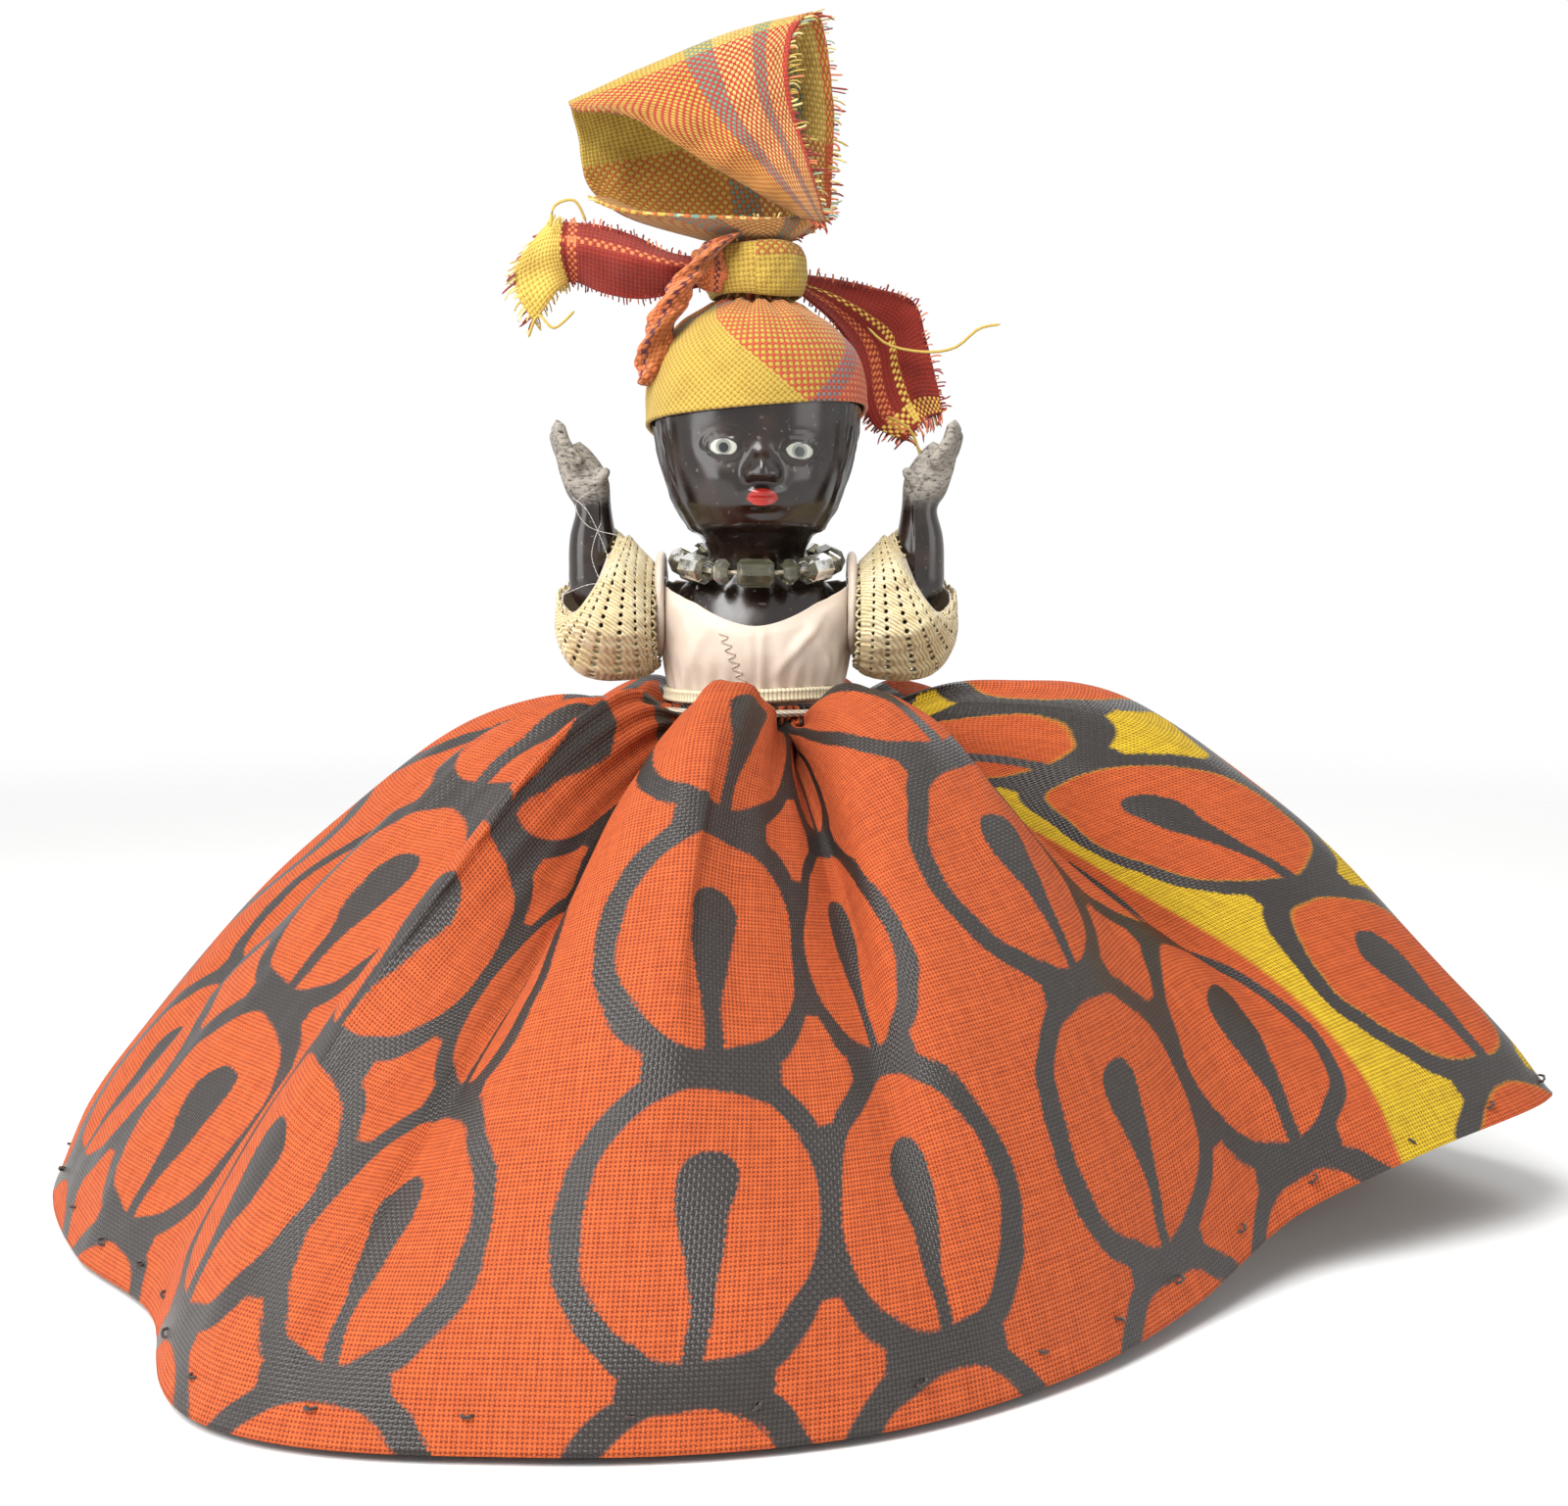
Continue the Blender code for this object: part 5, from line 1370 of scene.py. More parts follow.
def seam_ridge(arm, start, side, path):
    """Raises the mould's seam line along the front of an arm."""
    mesh = arm.data
    samples = [smooth_path(path, step / 80) for step in range(81)]
    for vert in mesh.vertices:
        if vert.normal.y < -0.3:
            local = vert.co - start
            near = min(samples, key=lambda p: (side * p[0] - local.x) ** 2 + (p[2] - local.z) ** 2)
            aside = (local.x - side * near[0]) * side + 0.0006
            if local.z < 0.001:
                aside = local.z - near[2]
            vert.co += vert.normal * 0.00013 * hill(aside, 0.00016)


# Dress


def blouse_height(angle, v):
    """Height on the blouse, whose neckline is scooped in front and a little at the back."""
    top = SHOULDER + (NECK - SHOULDER) * 0.42
    scoop = ease(66, 0, abs(angle)) ** 0.7 * NECKLINE_DROP * 1.1
    scoop += ease(114, 180, abs(angle)) * NECKLINE_DROP * 0.35
    return BLOUSE_BOTTOM + (top - scoop - BLOUSE_BOTTOM) * v


def blouse_wrinkle(angle, height):
    """How far folds lift the nylon off the body, in metres."""
    drawn = noise.noise(Vector((angle * 0.05, (height - WAIST) * 120, 2.0)))
    fine = noise.noise(Vector((angle * 0.16, (height - WAIST) * 420, 5.0)))
    slant = math.sin(angle * 0.22 - (height - WAIST) * 900)
    pulled = hill(height - WAIST - 0.0015, 0.0028) * math.sin(angle * 0.55)
    level = (height - WAIST) / MM
    folds = 0.00050 * hill(angle - 26 - (level - 6.5) * 5.0, 4.5) * hill(level - 7.0, 2.6)
    folds += 0.00042 * hill(angle - 47 + (level - 5.0) * 3.5, 5.0) * hill(level - 5.5, 3.2)
    folds += 0.00030 * hill(angle + 44 - (level - 5.0) * 4.0, 5.0) * hill(level - 6.0, 3.0)
    folds += 0.00020 * (hill(angle + 3, 1.6) + hill(angle - 4, 1.6)) * ease(9.5, 7.5, level)
    lift = 0.00022 * drawn + 0.00010 * fine + 0.00008 * slant * ease(10, 40, angle) + 0.00020 * pulled
    return 0.00026 + lift + folds


# How far out from the middle the blouse's armholes begin
ARMHOLE_INNER = 0.006


def make_blouse(settings):
    """The nylon blouse: a fitted sheet with a scooped neckline, two rolled armhole trims and a pulled thread."""
    nylon = pink_nylon(settings)
    hole = ARMHOLE_RADIUS

    def point_at(u, v):
        angle = 360 * u - 180
        height = blouse_height(angle, v)
        bound = 1 - 0.8 * ease(0.90, 0.99, v)
        free = ease(-0.0008, 0.0012, height - WAIST)
        point = torso_point(angle, height, BLOUSE_OFFSET + blouse_wrinkle(angle, height) * bound * free)
        away = math.hypot(point.y, point.z - SHOULDER)
        side = math.copysign(1.0, point.x)
        drawn_out = max(TRIM_MIDDLE - TRIM_WIDTH * 0.45 - abs(point.x), 0.0)
        point.x += side * drawn_out * ease(hole + 0.0026, hole, away) * ease(0.0055, 0.0080, abs(point.x))
        return point

    bm = sheet_mesh(180, 70, point_at, lambda u, v: (u * 56, v * 16))
    inside = [vert for vert in bm.verts
              if math.hypot(vert.co.y, vert.co.z - SHOULDER) < hole and abs(vert.co.x) > ARMHOLE_INNER]
    bmesh.ops.delete(bm, geom=inside, context="VERTS")
    for vert in bm.verts:
        away = math.hypot(vert.co.y, vert.co.z - SHOULDER)
        if vert.is_boundary and abs(vert.co.x) > ARMHOLE_INNER and away < hole + 0.0006:
            vert.co.y *= hole / away
            vert.co.z = SHOULDER + (vert.co.z - SHOULDER) * hole / away
    blouse = add_sheet("blouse_cloth", bm, nylon, "doll", ("blouse",))
    thicken(blouse, 0.00035)

    for side in (-1, 1):
        bm = bmesh.new()

        def trim_at(u, v):
            turn = 2 * math.pi * u
            round_turn = 2 * math.pi * v
            puff = 1 + 0.10 * noise.noise(Vector((math.cos(turn) * 2.5, math.sin(turn) * 2.5, side)))
            radius = ARMHOLE_RADIUS + TRIM_HEIGHT / 2 + TRIM_HEIGHT / 2 * math.cos(round_turn) * puff
            out = TRIM_MIDDLE + TRIM_WIDTH / 2 * math.sin(round_turn) * puff
            return Vector((side * out, -radius * math.sin(turn), SHOULDER + radius * math.cos(turn)))

        sheet_into(bm, 96, 14, trim_at, lambda u, v: (u * 30, v * 5))
        merge(bm, JOIN)
        name = "right_armhole_trim" if side < 0 else "left_armhole_trim"
        add_piece(name, bm, nylon, "doll")

    bm = bmesh.new()
    stitches = []
    for step in range(13):
        height = WAIST + 0.0078 - step * 0.00042
        angle = -20 + step * 1.0 + (2.6 if step % 2 else -2.6)
        stitches.append(torso_point(angle, height, BLOUSE_OFFSET + blouse_wrinkle(angle, height) + 0.00008))
    thread_into(bm, curve_points(stitches, 48), 0.00009, 5)
    name = "pulled_thread"
    add_piece(name, bm, nylon, "doll")
    lay_out(blouse)
    return blouse


def make_waist_band(settings):
    """The narrow woven elastic: a flat band between two corded edges."""
    height = WAIST + BAND_HEIGHT / 2 + TOUCH_GAP * 2

    def point_at(u, v):
        angle = 360 * u
        turn = 2 * math.pi * v
        rise = BAND_HEIGHT / 2 * math.sin(turn)
        cords = 0.55 + 0.45 * hill(abs(math.sin(turn)) - 0.72, 0.26)
        sag = 0.00025 * math.sin(math.radians(angle * 2 + 30))
        middle = torso_point(angle, height, BLOUSE_OFFSET + TOUCH_GAP + BAND_THICKNESS)
        outward = Vector((middle.x, middle.y, 0)).normalized()
        return middle + outward * BAND_THICKNESS * 1.15 * math.cos(turn) * cords + Vector((0, 0, rise + sag))

    bm = sheet_mesh(160, 28, point_at, lambda u, v: (u * 60, v * 4))
    return add_piece("woven_band", bm, elastic_band(settings), "doll", ("waist_band",))


def sleeve_point(side, u, v, puff=0.0):
    """A point on a sleeve: u runs round it and v from the armhole to the rim."""
    start = TRIM_MIDDLE + TRIM_WIDTH / 2 + TOUCH_GAP
    elbow = SHOULDER_FACE + UPPER_ARM
    rings = (
        (start, -0.0016, SLEEVE_RADIUS * 0.70, SLEEVE_RADIUS * 0.80, 0, 0),
        (start + SLEEVE_LENGTH * 0.18, -0.0011, SLEEVE_RADIUS * 0.87, SLEEVE_RADIUS * 0.98, 0, 0),
        (start + SLEEVE_LENGTH * 0.50, -0.0004, SLEEVE_RADIUS * 0.94, SLEEVE_RADIUS * 1.00, 18, 0.0),
        (elbow + SLEEVE_LENGTH * 0.03, 0.0016, SLEEVE_RADIUS * 0.78, SLEEVE_RADIUS * 0.90, 34, 0.0014),
        (elbow + SLEEVE_LENGTH * 0.07, 0.0042, SLEEVE_RIM_RADIUS * 0.83, SLEEVE_RIM_RADIUS * 0.98, 43, 0.0046),
    )
    out, up, tall, deep, tilt, dip = smooth_path(rings, v)
    turn = 2 * math.pi * u
    lean = math.radians(tilt)
    rise = (tall + puff) * math.cos(turn)
    up -= max(dip, 0.0) * max(-math.sin(turn), 0.0) ** 1.5
    return Vector((side * (out - rise * math.sin(lean)), (deep + puff) * math.sin(turn),
                   SHOULDER + up + rise * math.cos(lean)))


def make_sleeve(side, settings, lace):
    """A lace sleeve: rows of open stitches between close ribs, with picot loops along both rims."""
    body = arm_body(side)
    node = "right_sleeve" if side < 0 else "left_sleeve"
    columns = settings.stitch_columns
    rows = 34

    def point_at(u, v):
        along = v if side > 0 else 1 - v
        ribs = 0.00013 * math.sin(2 * math.pi * columns / 4 * u) + 0.00007 * math.sin(2 * math.pi * 17 * v)
        pleats = 0.00045 * math.sin(2 * math.pi * 7 * u + 2.0) * math.sin(math.pi * along) ** 2
        return sleeve_point(side, u, along, 0.0004 + ribs + pleats)

    bm = bmesh.new()
    sheet_into(bm, columns, rows, point_at, lambda u, v: (u * 48, v * 13))
    order = {face: index for index, face in enumerate(bm.faces)}
    holes = []
    for face, index in order.items():
        row, column = divmod(index, columns)
        open_row = row % 4 == 2 and 2 < row < rows - 2
        if open_row and column % 2 == (row // 4) % 2:
            holes.append(face)
    bmesh.ops.delete(bm, geom=holes, context="FACES_ONLY")
    merge(bm, JOIN)
    sleeve = add_sheet(f"lace_{node}", bm, lace, body, (node,))
    thicken(sleeve, 0.00030, 0.0)
    subdivide(sleeve, 1)

    loops = bmesh.new()
    for along, count, size in ((0.0, 30, 0.0007), (1.0, 24, 0.0009)):
        for index in range(count):
            u = index / count
            foot = sleeve_point(side, u - 0.35 / count, along, 0.0004)
            other = sleeve_point(side, u + 0.35 / count, along, 0.0004)
            inner = sleeve_point(side, u, abs(along - 0.06), 0.0004)
            away = ((foot + other) / 2 - inner).normalized()
            top = (foot + other) / 2 + away * size
            path = curve_points((foot, (foot + top) / 2 + (foot - other) * 0.2, top,
                                 (other + top) / 2 + (other - foot) * 0.2, other), 8)
            thread_into(loops, path, 0.00017, 6)
    merge(loops)
    picots = add_piece(f"picots_{node}", loops, lace, body)
    lay_out(sleeve)
    return sleeve


def make_fibres():
    """A few stray white fibres that cling to the right arm above its sleeve."""
    routes = (
        ((0.0150, -0.0036, 0.0075), (0.0185, -0.0044, 0.0085), (0.0200, -0.0040, 0.0110),
         (0.0178, -0.0036, 0.0128)),
        ((0.0215, -0.0036, 0.0010), (0.0180, -0.0046, 0.0022), (0.0150, -0.0040, 0.0012)),
        ((0.0160, -0.0040, 0.0000), (0.0182, -0.0045, 0.0050), (0.0172, -0.0042, 0.0090)),
        ((0.0205, -0.0030, 0.0118), (0.0187, -0.0036, 0.0102), (0.0170, -0.0040, 0.0066),
         (0.0158, -0.0040, 0.0030)),
        ((0.0190, -0.0042, -0.0004), (0.0166, -0.0046, 0.0016), (0.0152, -0.0040, 0.0040)),
    )
    bm = bmesh.new()
    for route in routes:
        path = curve_points([Vector((-out, back, SHOULDER + up)) for out, back, up in route], 24)
        thread_into(bm, path, 0.00004, 4)
    merge(bm)
    white = spun_thread("white_fibre", (0.70, 0.68, 0.62))
    return add_piece("stray_fibres", bm, white, "right_arm")


def make_lining(side, nylon):
    """The sheer nylon lining that shows inside the mouth of a sleeve."""
    body = arm_body(side)

    def point_at(u, v):
        along = 0.55 + 0.43 * (v if side > 0 else 1 - v)
        ripple = 0.00025 * math.sin(2 * math.pi * 9 * u + 1.0)
        return sleeve_point(side, u, along, -0.0006 + ripple * (along - 0.5))

    bm = sheet_mesh(96, 14, point_at, lambda u, v: (u * 45, v * 6))
    name = "right_sleeve_lining" if side < 0 else "left_sleeve_lining"
    lining = add_sheet(name, bm, nylon, body)
    thicken(lining, 0.0002)
    return lining


def make_beads(settings):
    """Long and short glass beads by turns, each facetted, with bevelled ends and a hole for the thread."""
    glass = smoky_glass(settings)
    pair = 360 / BEAD_PAIRS
    per_length = 360 / (2 * math.pi * NECKLACE_RADIUS)
    spare = pair - (LONG_BEAD + SHORT_BEAD) * per_length
    placed = Matrix.Translation((0, 0, NECKLACE_HEIGHT)) @ Matrix.Rotation(math.radians(NECKLACE_TILT), 4, "X")
    for index in range(BEAD_PAIRS * 2):
        is_long = index % 2 == 0
        length = LONG_BEAD if is_long else SHORT_BEAD
        angle = pair * (index // 2)
        if not is_long:
            angle += (LONG_BEAD + SHORT_BEAD) / 2 * per_length + spare / 2
        radius = BEAD_RADIUS if is_long else BEAD_RADIUS * 0.92
        node = f"necklace_bead_{index + 1:02d}"
        facet = 0.0005 if is_long else 0.0006
        half = length / 2
        profile = ((BEAD_HOLE_RADIUS, -half), (radius - facet, -half), (radius, -half + facet),
                   (radius, half - facet), (radius - facet, half), (BEAD_HOLE_RADIUS, half))
        bm = bmesh.new()
        verts = [bm.verts.new((across, 0, along)) for across, along in profile]
        edges = [bm.edges.new((verts[i - 1], verts[i])) for i in range(len(verts))]
        bmesh.ops.spin(bm, geom=verts + edges, cent=(0, 0, 0), axis=(0, 0, 1), angle=2 * math.pi,
                       steps=8 if is_long else 6, use_merge=True, use_duplicate=False)
        merge(bm, JOIN)
        bmesh.ops.bevel(bm, geom=list(bm.edges), offset=0.00006, affect="EDGES", segments=1, profile=0.5,
                        material=-1)
        turned = Matrix.Rotation(math.radians(angle), 4, "Z") @ Matrix.Rotation(math.pi / 2, 4, "Y")
        bm.transform(placed @ Matrix.Translation(polar(NECKLACE_RADIUS, angle)) @ turned)
        add_piece(f"glass_{node}", bm, glass, "doll", (node,), sharp=20)


# Headcloth


# The cap's rim, as shares of the head's height behind and in front, and its slant to one side
CAP_RIM_BACK = 0.34
CAP_RIM_FRONT = 0.54
CAP_RIM_SLANT = 0.038
# Thickness of the plaid
HEADCLOTH_THICKNESS = 0.00045


def cap_point(u, v):
    """A point on the cap: u runs round the head and v from the rim to the crown."""
    angle = 360 * u - 180
    forward = (1 + math.cos(math.radians(angle))) / 2
    slope = CAP_RIM_SLANT * math.sin(math.radians(angle))
    raised = (CAP_RIM_FRONT - CAP_RIM_BACK) * (1 - (1 - forward) ** 3)
    rim = CHIN + HEAD_HEIGHT * (CAP_RIM_BACK + raised + slope)
    top = CROWN - HEAD_HEIGHT * 0.025
    height = rim + (top - rim) * math.sin(math.pi / 2 * v)
    crowd = v ** 3
    pull = math.sin(math.radians(angle * 13)) * 0.30 + math.sin(math.radians(angle * 29 + 40)) * 0.15
    soft = noise.noise(Vector((math.sin(math.radians(angle)) * 2.1, math.cos(math.radians(angle)) * 2.1, v * 2.2)))
    slant = math.sin(math.radians(angle * 5) + v * 5.0) * 0.16 * v * (1 - v) * 2
    rolled = 0.12 * hill(v, 0.03)
    lift = (0.02 + pull * crowd + soft * 0.22 + slant + rolled) * ease(1.02, 0.96, v)
    return head_point(angle, height, CAP_OFFSET + lift * MM)


def fringe_into(bm, edge_at, outward_at, count, longest, draw, colours, radius=0.00011):
    """Adds frayed yarns along an edge: edge_at and outward_at give a point and its way out at a share."""
    for index in range(count):
        share = (index + draw.uniform(0.1, 0.9)) / count
        foot = edge_at(share)
        out = outward_at(share)
        length = longest * draw.uniform(0.35, 1.0)
        stray = Vector((draw.uniform(-1, 1), draw.uniform(-1, 1), draw.uniform(-1, 1))) * length * 0.35
        sag = Vector((0, 0, -length * draw.uniform(0.0, 0.35)))
        path = curve_points((foot - out * 0.0006, foot + out * length * 0.5 + stray * 0.3,
                             foot + out * length + stray + sag), 5)
        thread_into(bm, path, radius * draw.uniform(0.7, 1.2), 4, draw.choice(colours))


def sheet_edges(raw):
    """Edge points and ways out of a cage sheet, for its two sides and its far end."""
    def at_side(u):
        inner = 0.9 if u > 0.5 else 0.1
        return (lambda share: raw(u, share), lambda share: (raw(u, share) - raw(inner, share)).normalized())

    def at_end(v):
        inner = 0.96 if v > 0.5 else 0.04
        return (lambda share: raw(share, v), lambda share: (raw(share, v) - raw(share, inner)).normalized())

    return at_side, at_end


def make_headcloth(settings):
    """The plaid cloth: cap, pleated gather, the tall folded flap with its lip, and the frayed edges."""
    yellow = tuple(settings.yellow)
    red = tuple(settings.red)
    orange = tuple(settings.orange)
    teal = tuple(settings.teal)
    deep = (0.46, 0.13, 0.03)
    rose = (0.50, 0.070, 0.034)
    grey = (0.22, 0.20, 0.20)
    grey_green = (0.15, 0.26, 0.19)
    pale_yellow = (0.62, 0.44, 0.14)
    red_yarn = (0.44, 0.032, 0.024)
    cap_finish = madras("madras_cap", settings, ((0.0, yellow), (0.485, rose), (0.90, deep)),
                        ((0.0, orange), (0.35, grey), (0.405, yellow), (0.86, teal), (0.90, orange)),
                        36.0, 40.0, 45.0, (14.0, 20.0))
    flap_finish = madras("madras_flap", settings,
                         ((0.0, yellow), (0.48, grey_green), (0.58, pale_yellow), (0.74, grey_green),
                          (0.81, pale_yellow), (0.93, rose)),
                         ((0.0, deep), (0.26, yellow), (0.50, red_yarn), (0.93, red)),
                         30.0, 62.0, 0.0, (0.5, 0.0))

    bm = sheet_mesh(160, 56, cap_point, lambda u, v: ((u - 0.5) * 68, v * 18))
    cap = add_sheet("cap_cloth", bm, cap_finish, "doll", ("headcloth",))
    thicken(cap, HEADCLOTH_THICKNESS)

    origin = Vector((0, 0, GATHER_FOOT))

    def gather_at(u, v):
        pleat = 0.5 + 0.5 * math.sin(2 * math.pi * 15 * u + 2 * math.sin(2 * math.pi * 2 * u))
        radius = GATHER_RADIUS * (0.70 + 0.28 * pleat) * (1 - 0.12 * math.sin(math.pi * v))
        return origin + polar(radius, 360 * u, GATHER_HEIGHT * v)

    bm = sheet_mesh(150, 16, gather_at, lambda u, v: (u * 60, v * 7))
    close_ends(bm)
    gather = add_piece("gathered_cloth", bm, flap_finish, "doll")

    def crumple(point, u, v):
        soft = noise.noise(point * 260.0 + Vector((3.0, 1.0, 7.0)))
        fine = noise.noise(point * 700.0)
        return point + Vector((0.2, 1.0, 0.25)) * (soft * 0.00055 + fine * 0.00018) * ease(0.0, 0.15, v)

    bm = bmesh.new()
    flap_raw = cage_sheet(bm, FLAP_CAGE, origin, 56, 150, crumple)
    flap = add_sheet("flap_cloth", bm, flap_finish, "doll")
    thicken(flap, HEADCLOTH_THICKNESS, 0.0)
    bm = bmesh.new()
    lip_raw = cage_sheet(bm, LIP_CAGE, origin, 90, 36, crumple)
    lip = add_sheet("lip_cloth", bm, flap_finish, "doll")
    thicken(lip, HEADCLOTH_THICKNESS, 0.0)

    draw = random.Random(5)
    frayed = bmesh.new()
    at_side, at_end = sheet_edges(flap_raw)
    fringe_into(frayed, *at_side(1.0), 150, 0.0017, draw, (0.1, 0.3, 0.3, 0.5, 0.7, 0.9))
    fringe_into(frayed, *at_end(1.0), 16, 0.0016, draw, (0.3, 0.9))
    _, lip_end = sheet_edges(lip_raw)
    fringe_into(frayed, *lip_end(1.0), 40, 0.0007, draw, (0.1, 0.1, 0.5))
    merge(frayed)
    fringe = add_piece("flap_fringe", frayed, frayed_yarn(settings), "doll")
    lay_out(cap)
    lay_out(flap)
    lay_out(lip)


# Where the tie's knot sits round the gather
KNOT_ANGLE = -52


def make_head_tie(settings):
    """The tie: a twisted strip wound round the gather, its knot, its two frayed tails and loose threads."""
    yellow = tuple(settings.yellow)
    red = tuple(settings.red)
    orange = tuple(settings.orange)
    purple = tuple(settings.purple)
    pale = (0.80, 0.58, 0.12)
    brown = (0.40, 0.12, 0.03)
    band_finish = madras("madras_band", settings, ((0.0, yellow), (0.55, (0.60, 0.34, 0.05)), (0.72, yellow)),
                         ((0.0, yellow), (0.06, brown), (0.30, yellow)), 24.0, 14.0, 4.0)
    knot_finish = madras("madras_knot", settings,
                         ((0.0, orange), (0.30, purple), (0.42, brown), (0.70, orange), (0.84, purple)),
                         ((0.0, brown), (0.5, orange)), 5.2, 9.0, 8.0)
    tail_finishes = (
        madras("madras_right_tail", settings, ((0.0, red), (0.44, orange), (0.54, red)),
               ((0.0, red), (0.62, orange), (0.68, red)), 8.0, 24.0, 4.0, end=(17.6, pale)),
        madras("madras_left_tail", settings, ((0.0, red), (0.40, pale), (0.50, red), (0.62, orange), (0.74, red)),
               ((0.0, red), (0.90, pale)), 10.5, 24.0, -5.0),
    )
    origin = Vector((0, 0, GATHER_FOOT))
    middle = TOUCH_GAP * 2 + TIE_HEIGHT / 2

    def band_at(u, v):
        turn = 2 * math.pi * v
        twist = 0.14 * math.sin(turn * 3 + 2 * math.pi * 9 * u) + 0.08 * math.sin(turn * 5 - 2 * math.pi * 14 * u)
        thick = TIE_THICKNESS / 2 * (1.25 + twist)
        radius = TIE_RADIUS + thick * math.cos(turn)
        rise = TIE_HEIGHT / 2 * math.sin(turn) * (1 + 0.06 * math.sin(2 * math.pi * 3 * u))
        return origin + polar(radius, 360 * u, middle + rise)

    bm = sheet_mesh(150, 36, band_at, lambda u, v: (u * 30, v * 14))
    band = add_piece("tie_band", bm, band_finish, "doll", ("head_tie",))

    outwards = polar(1.0, KNOT_ANGLE)
    centre = origin + polar(TIE_RADIUS, KNOT_ANGLE, middle) + outwards * TIE_KNOT * 0.34
    bm = bmesh.new()
    size = Matrix.Diagonal((TIE_KNOT * 0.5, TIE_KNOT * 0.36, TIE_HEIGHT * 0.48, 1.0))
    bmesh.ops.create_uvsphere(bm, u_segments=64, v_segments=40, radius=1.0,
                              matrix=Matrix.Translation(centre) @ size)
    layer = uv_layer(bm)
    for vert in bm.verts:
        away = vert.co - centre
        wrap = math.sin(away.z * 2600 + away.x * 1500 + noise.noise(away * 500) * 2.5)
        vert.co += away.normalized() * (0.00022 * wrap)
    for face in bm.faces:
        for loop in face.loops:
            local = (loop.vert.co - centre) / MM
            loop[layer].uv = (local.x * 1.2 + local.y, local.z * 1.4 + local.x * 0.6)
    knot = add_piece("tie_knot", bm, knot_finish, "doll")

    route = ((-0.0034, -0.0056, 0.0066), (-0.0066, -0.0062, 0.0032), (-0.0092, -0.0058, -0.0006),
             (-0.0110, -0.0050, -0.0050), (-0.0118, -0.0036, -0.0094))
    steps = 70
    middles = curve_points([origin + Vector(point) for point in route], steps)

    def twist_at(u, v):
        turn = 2 * math.pi * u
        thin = 0.0019 * (0.70 + 0.30 * math.sin(math.pi * (0.12 + 0.80 * v))) * ease(1.0, 0.93, v)
        ridge = 1 + 0.22 * math.sin(2 * turn + v * 26) + 0.07 * math.sin(5 * turn - v * 40)
        side = Vector((math.cos(turn), math.sin(turn) * 0.9, 0.35 * math.cos(turn)))
        return middles[round(v * steps)] + side * thin * ridge

    bm = sheet_mesh(40, steps, twist_at, lambda u, v: (u * 8, v * 17))
    close_ends(bm)
    roll = add_piece("twisted_roll", bm, knot_finish, "doll")

    draw = random.Random(23)
    frayed = bmesh.new()
    tails = []
    for name, side, cage, count in (("right", -1, RIGHT_TAIL_CAGE, 34), ("left", 1, LEFT_TAIL_CAGE, 26)):
        root = origin + Vector((side * TIE_RADIUS, 0, 0))
        tail_finish = tail_finishes[0 if side < 0 else 1]

        def crease(point, u, v):
            ridge = math.sin(u * 9.0 + v * 3.0) * 0.00035 * ease(0.0, 0.2, v)
            soft = noise.noise(point * 330.0) * 0.0004
            return point + Vector((0, 1, 0)) * (ridge + soft * ease(0.0, 0.15, v))

        bm = bmesh.new()
        raw = cage_sheet(bm, cage, root, 36, 110, crease)
        tail = add_sheet(f"{name}_tail", bm, tail_finish, "doll")
        thicken(tail, HEADCLOTH_THICKNESS, 0.0)
        tails.append(tail)
        at_side, at_end = sheet_edges(raw)
        colours = (0.1, 0.5, 0.5, 0.3) if side < 0 else (0.3, 0.3, 0.3, 0.1, 0.9)
        fringe_into(frayed, *at_end(1.0), count, 0.0016, draw, colours)
        for u in (0.0, 1.0):
            edge, outward = at_side(u)
            end_colours = (0.1, 0.1, 0.5) if side < 0 else (0.3, 0.3, 0.9)
            for first, share, yarns, longest, tints in ((0.0, 0.72, 34, 0.0010, (0.3, 0.3, 0.9)),
                                                        (0.72, 0.28, 20, 0.0013, end_colours)):
                fringe_into(frayed, lambda t: edge(first + t * share), lambda t: outward(first + t * share),
                            yarns, longest, draw, tints)

    loose = (
        ((-0.0188, -0.0016, 0.0088), (-0.0200, -0.0024, 0.0110), (-0.0222, -0.0026, 0.0104),
         (-0.0226, -0.0030, 0.0080)),
        ((-0.0200, -0.0030, -0.0010), (-0.0222, -0.0040, -0.0030), (-0.0240, -0.0036, -0.0016),
         (-0.0252, -0.0030, -0.0040)),
        ((0.0126, 0.0064, -0.0018), (0.0150, 0.0050, -0.0040), (0.0190, 0.0030, -0.0050),
         (0.0224, 0.0020, -0.0046), (0.0250, 0.0010, -0.0026), (0.0274, 0.0000, -0.0022)),
        ((0.0150, 0.0070, -0.0120), (0.0176, 0.0060, -0.0136), (0.0190, 0.0064, -0.0170)),
    )
    for route in loose:
        steps = curve_points([origin + Vector(point) for point in route], 18)
        thread_into(frayed, steps, 0.00016, 6, 0.05)
    merge(frayed)
    fringe = add_piece("tail_fringe", frayed, frayed_yarn(settings), "doll")
    lay_out(tails[0])
    lay_out(tails[1])
    return band


# Stage


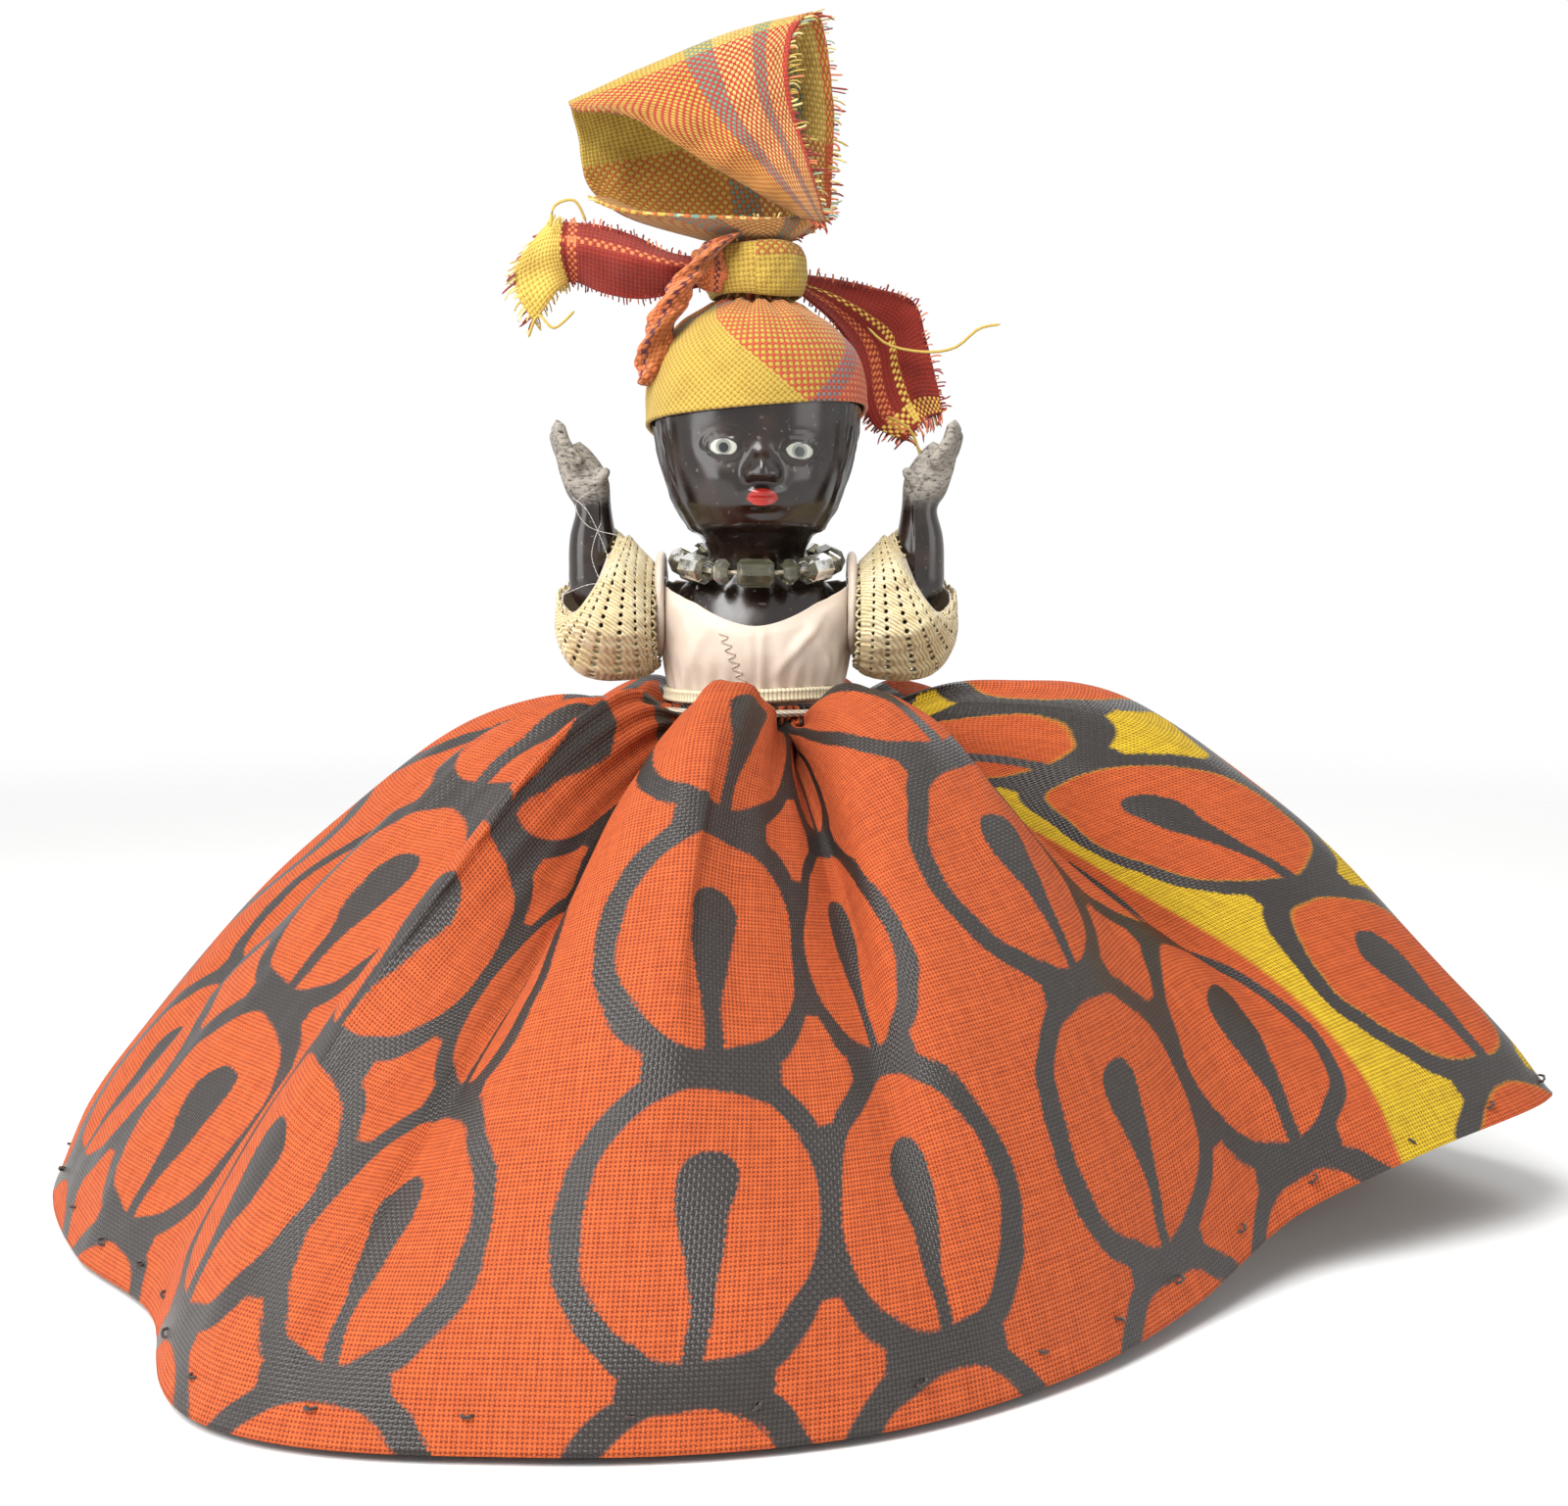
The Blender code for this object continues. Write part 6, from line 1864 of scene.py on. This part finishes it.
def make_stage(settings):
    """The pale floor, which fades into the white round it, the soft lights and the camera."""
    scene = bpy.context.scene
    scene.view_settings.view_transform = "Standard"
    bm = bmesh.new()
    bmesh.ops.create_circle(bm, cap_ends=True, radius=1.6, segments=96)
    mesh = mesh_from("floor", bm)
    floor = bpy.data.objects.new("floor", mesh)
    scene.collection.objects.link(floor)
    finish = Finish("pale_floor", Base_Color=tuple(settings.floor), Roughness=0.9, Specular_IOR_Level=0.1)
    x, y, _ = finish.object_place()
    far = (x.square() + y.square()).root().ease(0.14, 0.62)
    clear = finish.tree.nodes.new("ShaderNodeBsdfTransparent")
    blend = finish.tree.nodes.new("ShaderNodeMixShader")
    output = finish.tree.nodes["Material Output"]
    finish.tree.links.new(far.socket, blend.inputs[0])
    finish.tree.links.new(finish.shader.outputs[0], blend.inputs[1])
    finish.tree.links.new(clear.outputs[0], blend.inputs[2])
    finish.tree.links.new(blend.outputs[0], output.inputs["Surface"])
    mesh.materials.append(finish.material)

    world = bpy.data.worlds.new("white_room")
    world.use_nodes = True
    scene.world = world
    tree = world.node_tree
    sky = tree.nodes["Background"]
    sky.inputs["Color"].default_value = (1.0, 1.0, 1.0, 1.0)
    seen = tree.nodes.new("ShaderNodeLightPath")
    seen_wire = Wire(tree, seen.outputs["Is Camera Ray"]).most(Wire(tree, seen.outputs["Is Transmission Ray"]))
    seen_wire = seen_wire.most(Wire(tree, seen.outputs["Is Glossy Ray"]))
    strength = seen_wire.ease(0.0, 1.0, settings.sky, 1.0)
    tree.links.new(strength.socket, sky.inputs["Strength"])

    lights = (
        ("key_light", (-0.18, -0.30, 0.46), 0.30, settings.key_power),
        ("left_light", (-0.42, -0.22, 0.16), 0.26, settings.fill_power * 1.3),
        ("right_light", (0.44, -0.24, 0.16), 0.26, settings.fill_power * 0.7),
        ("back_light", (0.10, 0.42, 0.42), 0.30, settings.fill_power),
    )
    aim = Vector((0, 0, 0.055))
    for name, place, size, power in lights:
        data = bpy.data.lights.new(name, "AREA")
        data.shape = "RECTANGLE"
        data.size = size
        data.size_y = size * 1.3
        data.energy = power
        lamp = bpy.data.objects.new(name, data)
        lamp.location = place
        lamp.rotation_euler = (aim - Vector(place)).to_track_quat("-Z", "Y").to_euler()
        scene.collection.objects.link(lamp)

    data = bpy.data.cameras.new("camera")
    data.lens = CAMERA_LENS
    data.sensor_width = CAMERA_SENSOR
    camera = bpy.data.objects.new("camera", data)
    camera.location = CAMERA_PLACE
    camera.rotation_euler = (math.radians(CAMERA_TILT), 0, 0)
    scene.collection.objects.link(camera)
    scene.camera = camera


# Operators


class DOLL_OT_stage(bpy.types.Operator):
    """Add the floor, the soft lights and the camera"""
    bl_idname = "doll.stage"
    bl_label = "Stage"

    def execute(self, context):
        make_stage(context.scene.doll_stage)
        return {"FINISHED"}


class DOLL_OT_cushion(bpy.types.Operator):
    """Add the stuffed dome and finish the card under it"""
    bl_idname = "doll.cushion"
    bl_label = "Cushion and card"

    def execute(self, context):
        make_cushion()
        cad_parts["base_card"].material_slots[0].material = pressed_card()
        return {"FINISHED"}


class DOLL_OT_skirt(bpy.types.Operator):
    """Add the gathered print skirt, its gathering thread and the stitches of its hem"""
    bl_idname = "doll.skirt"
    bl_label = "Skirt"

    def execute(self, context):
        cloth, points, width, length = make_skirt(context.scene.doll_skirt)
        stitches = make_hem_stitches(points)
        cream = spun_thread("cream_thread", (0.62, 0.55, 0.42))
        for node in ("gathering_thread", "necklace_thread", "arm_elastic"):
            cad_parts[node].material_slots[0].material = cream
        return {"FINISHED"}


class DOLL_OT_doll(bpy.types.Operator):
    """Add the moulded body with its painted face, and both arms"""
    bl_idname = "doll.doll"
    bl_label = "Doll"

    def execute(self, context):
        settings = context.scene.doll_plastic
        make_body(settings)
        arm_finish = moulded_plastic("scuffed_plastic", settings, hands=True).material
        for side in (-1, 1):
            make_arm(side, arm_finish)
        return {"FINISHED"}


class DOLL_OT_blouse(bpy.types.Operator):
    """Add the nylon blouse with its rolled trims, and the waist band"""
    bl_idname = "doll.blouse"
    bl_label = "Blouse and band"

    def execute(self, context):
        make_blouse(context.scene.doll_dress)
        make_waist_band(context.scene.doll_dress)
        return {"FINISHED"}


class DOLL_OT_sleeves(bpy.types.Operator):
    """Add both lace sleeves with their picot rims, their linings and the stray fibres"""
    bl_idname = "doll.sleeves"
    bl_label = "Sleeves"

    def execute(self, context):
        settings = context.scene.doll_dress
        lace = knitted_lace(settings)
        nylon = pink_nylon(settings)
        for side in (-1, 1):
            make_sleeve(side, settings, lace)
            make_lining(side, nylon)
        make_fibres()
        return {"FINISHED"}


class DOLL_OT_necklace(bpy.types.Operator):
    """Add the facetted glass beads"""
    bl_idname = "doll.necklace"
    bl_label = "Necklace"

    def execute(self, context):
        make_beads(context.scene.doll_dress)
        return {"FINISHED"}


class DOLL_OT_headcloth(bpy.types.Operator):
    """Add the plaid headcloth, its gather, its flap and its frayed edges"""
    bl_idname = "doll.headcloth"
    bl_label = "Headcloth"

    def execute(self, context):
        make_headcloth(context.scene.doll_headcloth)
        return {"FINISHED"}


class DOLL_OT_head_tie(bpy.types.Operator):
    """Add the twisted tie with its knot and its frayed tails"""
    bl_idname = "doll.head_tie"
    bl_label = "Head tie"

    def execute(self, context):
        make_head_tie(context.scene.doll_headcloth)
        return {"FINISHED"}


OPERATORS = (DOLL_OT_stage, DOLL_OT_cushion, DOLL_OT_skirt, DOLL_OT_doll, DOLL_OT_blouse, DOLL_OT_sleeves,
             DOLL_OT_necklace, DOLL_OT_headcloth, DOLL_OT_head_tie)


class DOLL_PT_panel(bpy.types.Panel):
    """The doll's settings and the pieces that can be added"""
    bl_idname = "DOLL_PT_panel"
    bl_label = "Pincushion Doll"
    bl_space_type = "VIEW_3D"
    bl_region_type = "UI"
    bl_category = "Doll"

    def draw(self, context):
        for name, group in SETTINGS.items():
            box = self.layout.box()
            for item in group.__annotations__:
                box.prop(getattr(context.scene, name), item)
        for operator in OPERATORS:
            self.layout.operator(operator.bl_idname)


SETTINGS = {"doll_skirt": SkirtSettings, "doll_plastic": DollSettings, "doll_dress": DressSettings,
            "doll_headcloth": HeadclothSettings, "doll_stage": StageSettings}
CLASSES = (*SETTINGS.values(), *OPERATORS, DOLL_PT_panel)


def register():
    """Registers the settings, the operators and the panel."""
    for made in CLASSES:
        bpy.utils.register_class(made)
    for name, group in SETTINGS.items():
        setattr(bpy.types.Scene, name, PointerProperty(type=group))


def unregister():
    """Removes them again."""
    for name in SETTINGS:
        delattr(bpy.types.Scene, name)
    for made in reversed(CLASSES):
        bpy.utils.unregister_class(made)


def main():
    """Builds the whole scene."""
    register()
    for operator in OPERATORS:
        group, name = operator.bl_idname.split(".")
        getattr(getattr(bpy.ops, group), name)()
    bpy.context.view_layer.update()


if __name__ == "__main__":
    main()
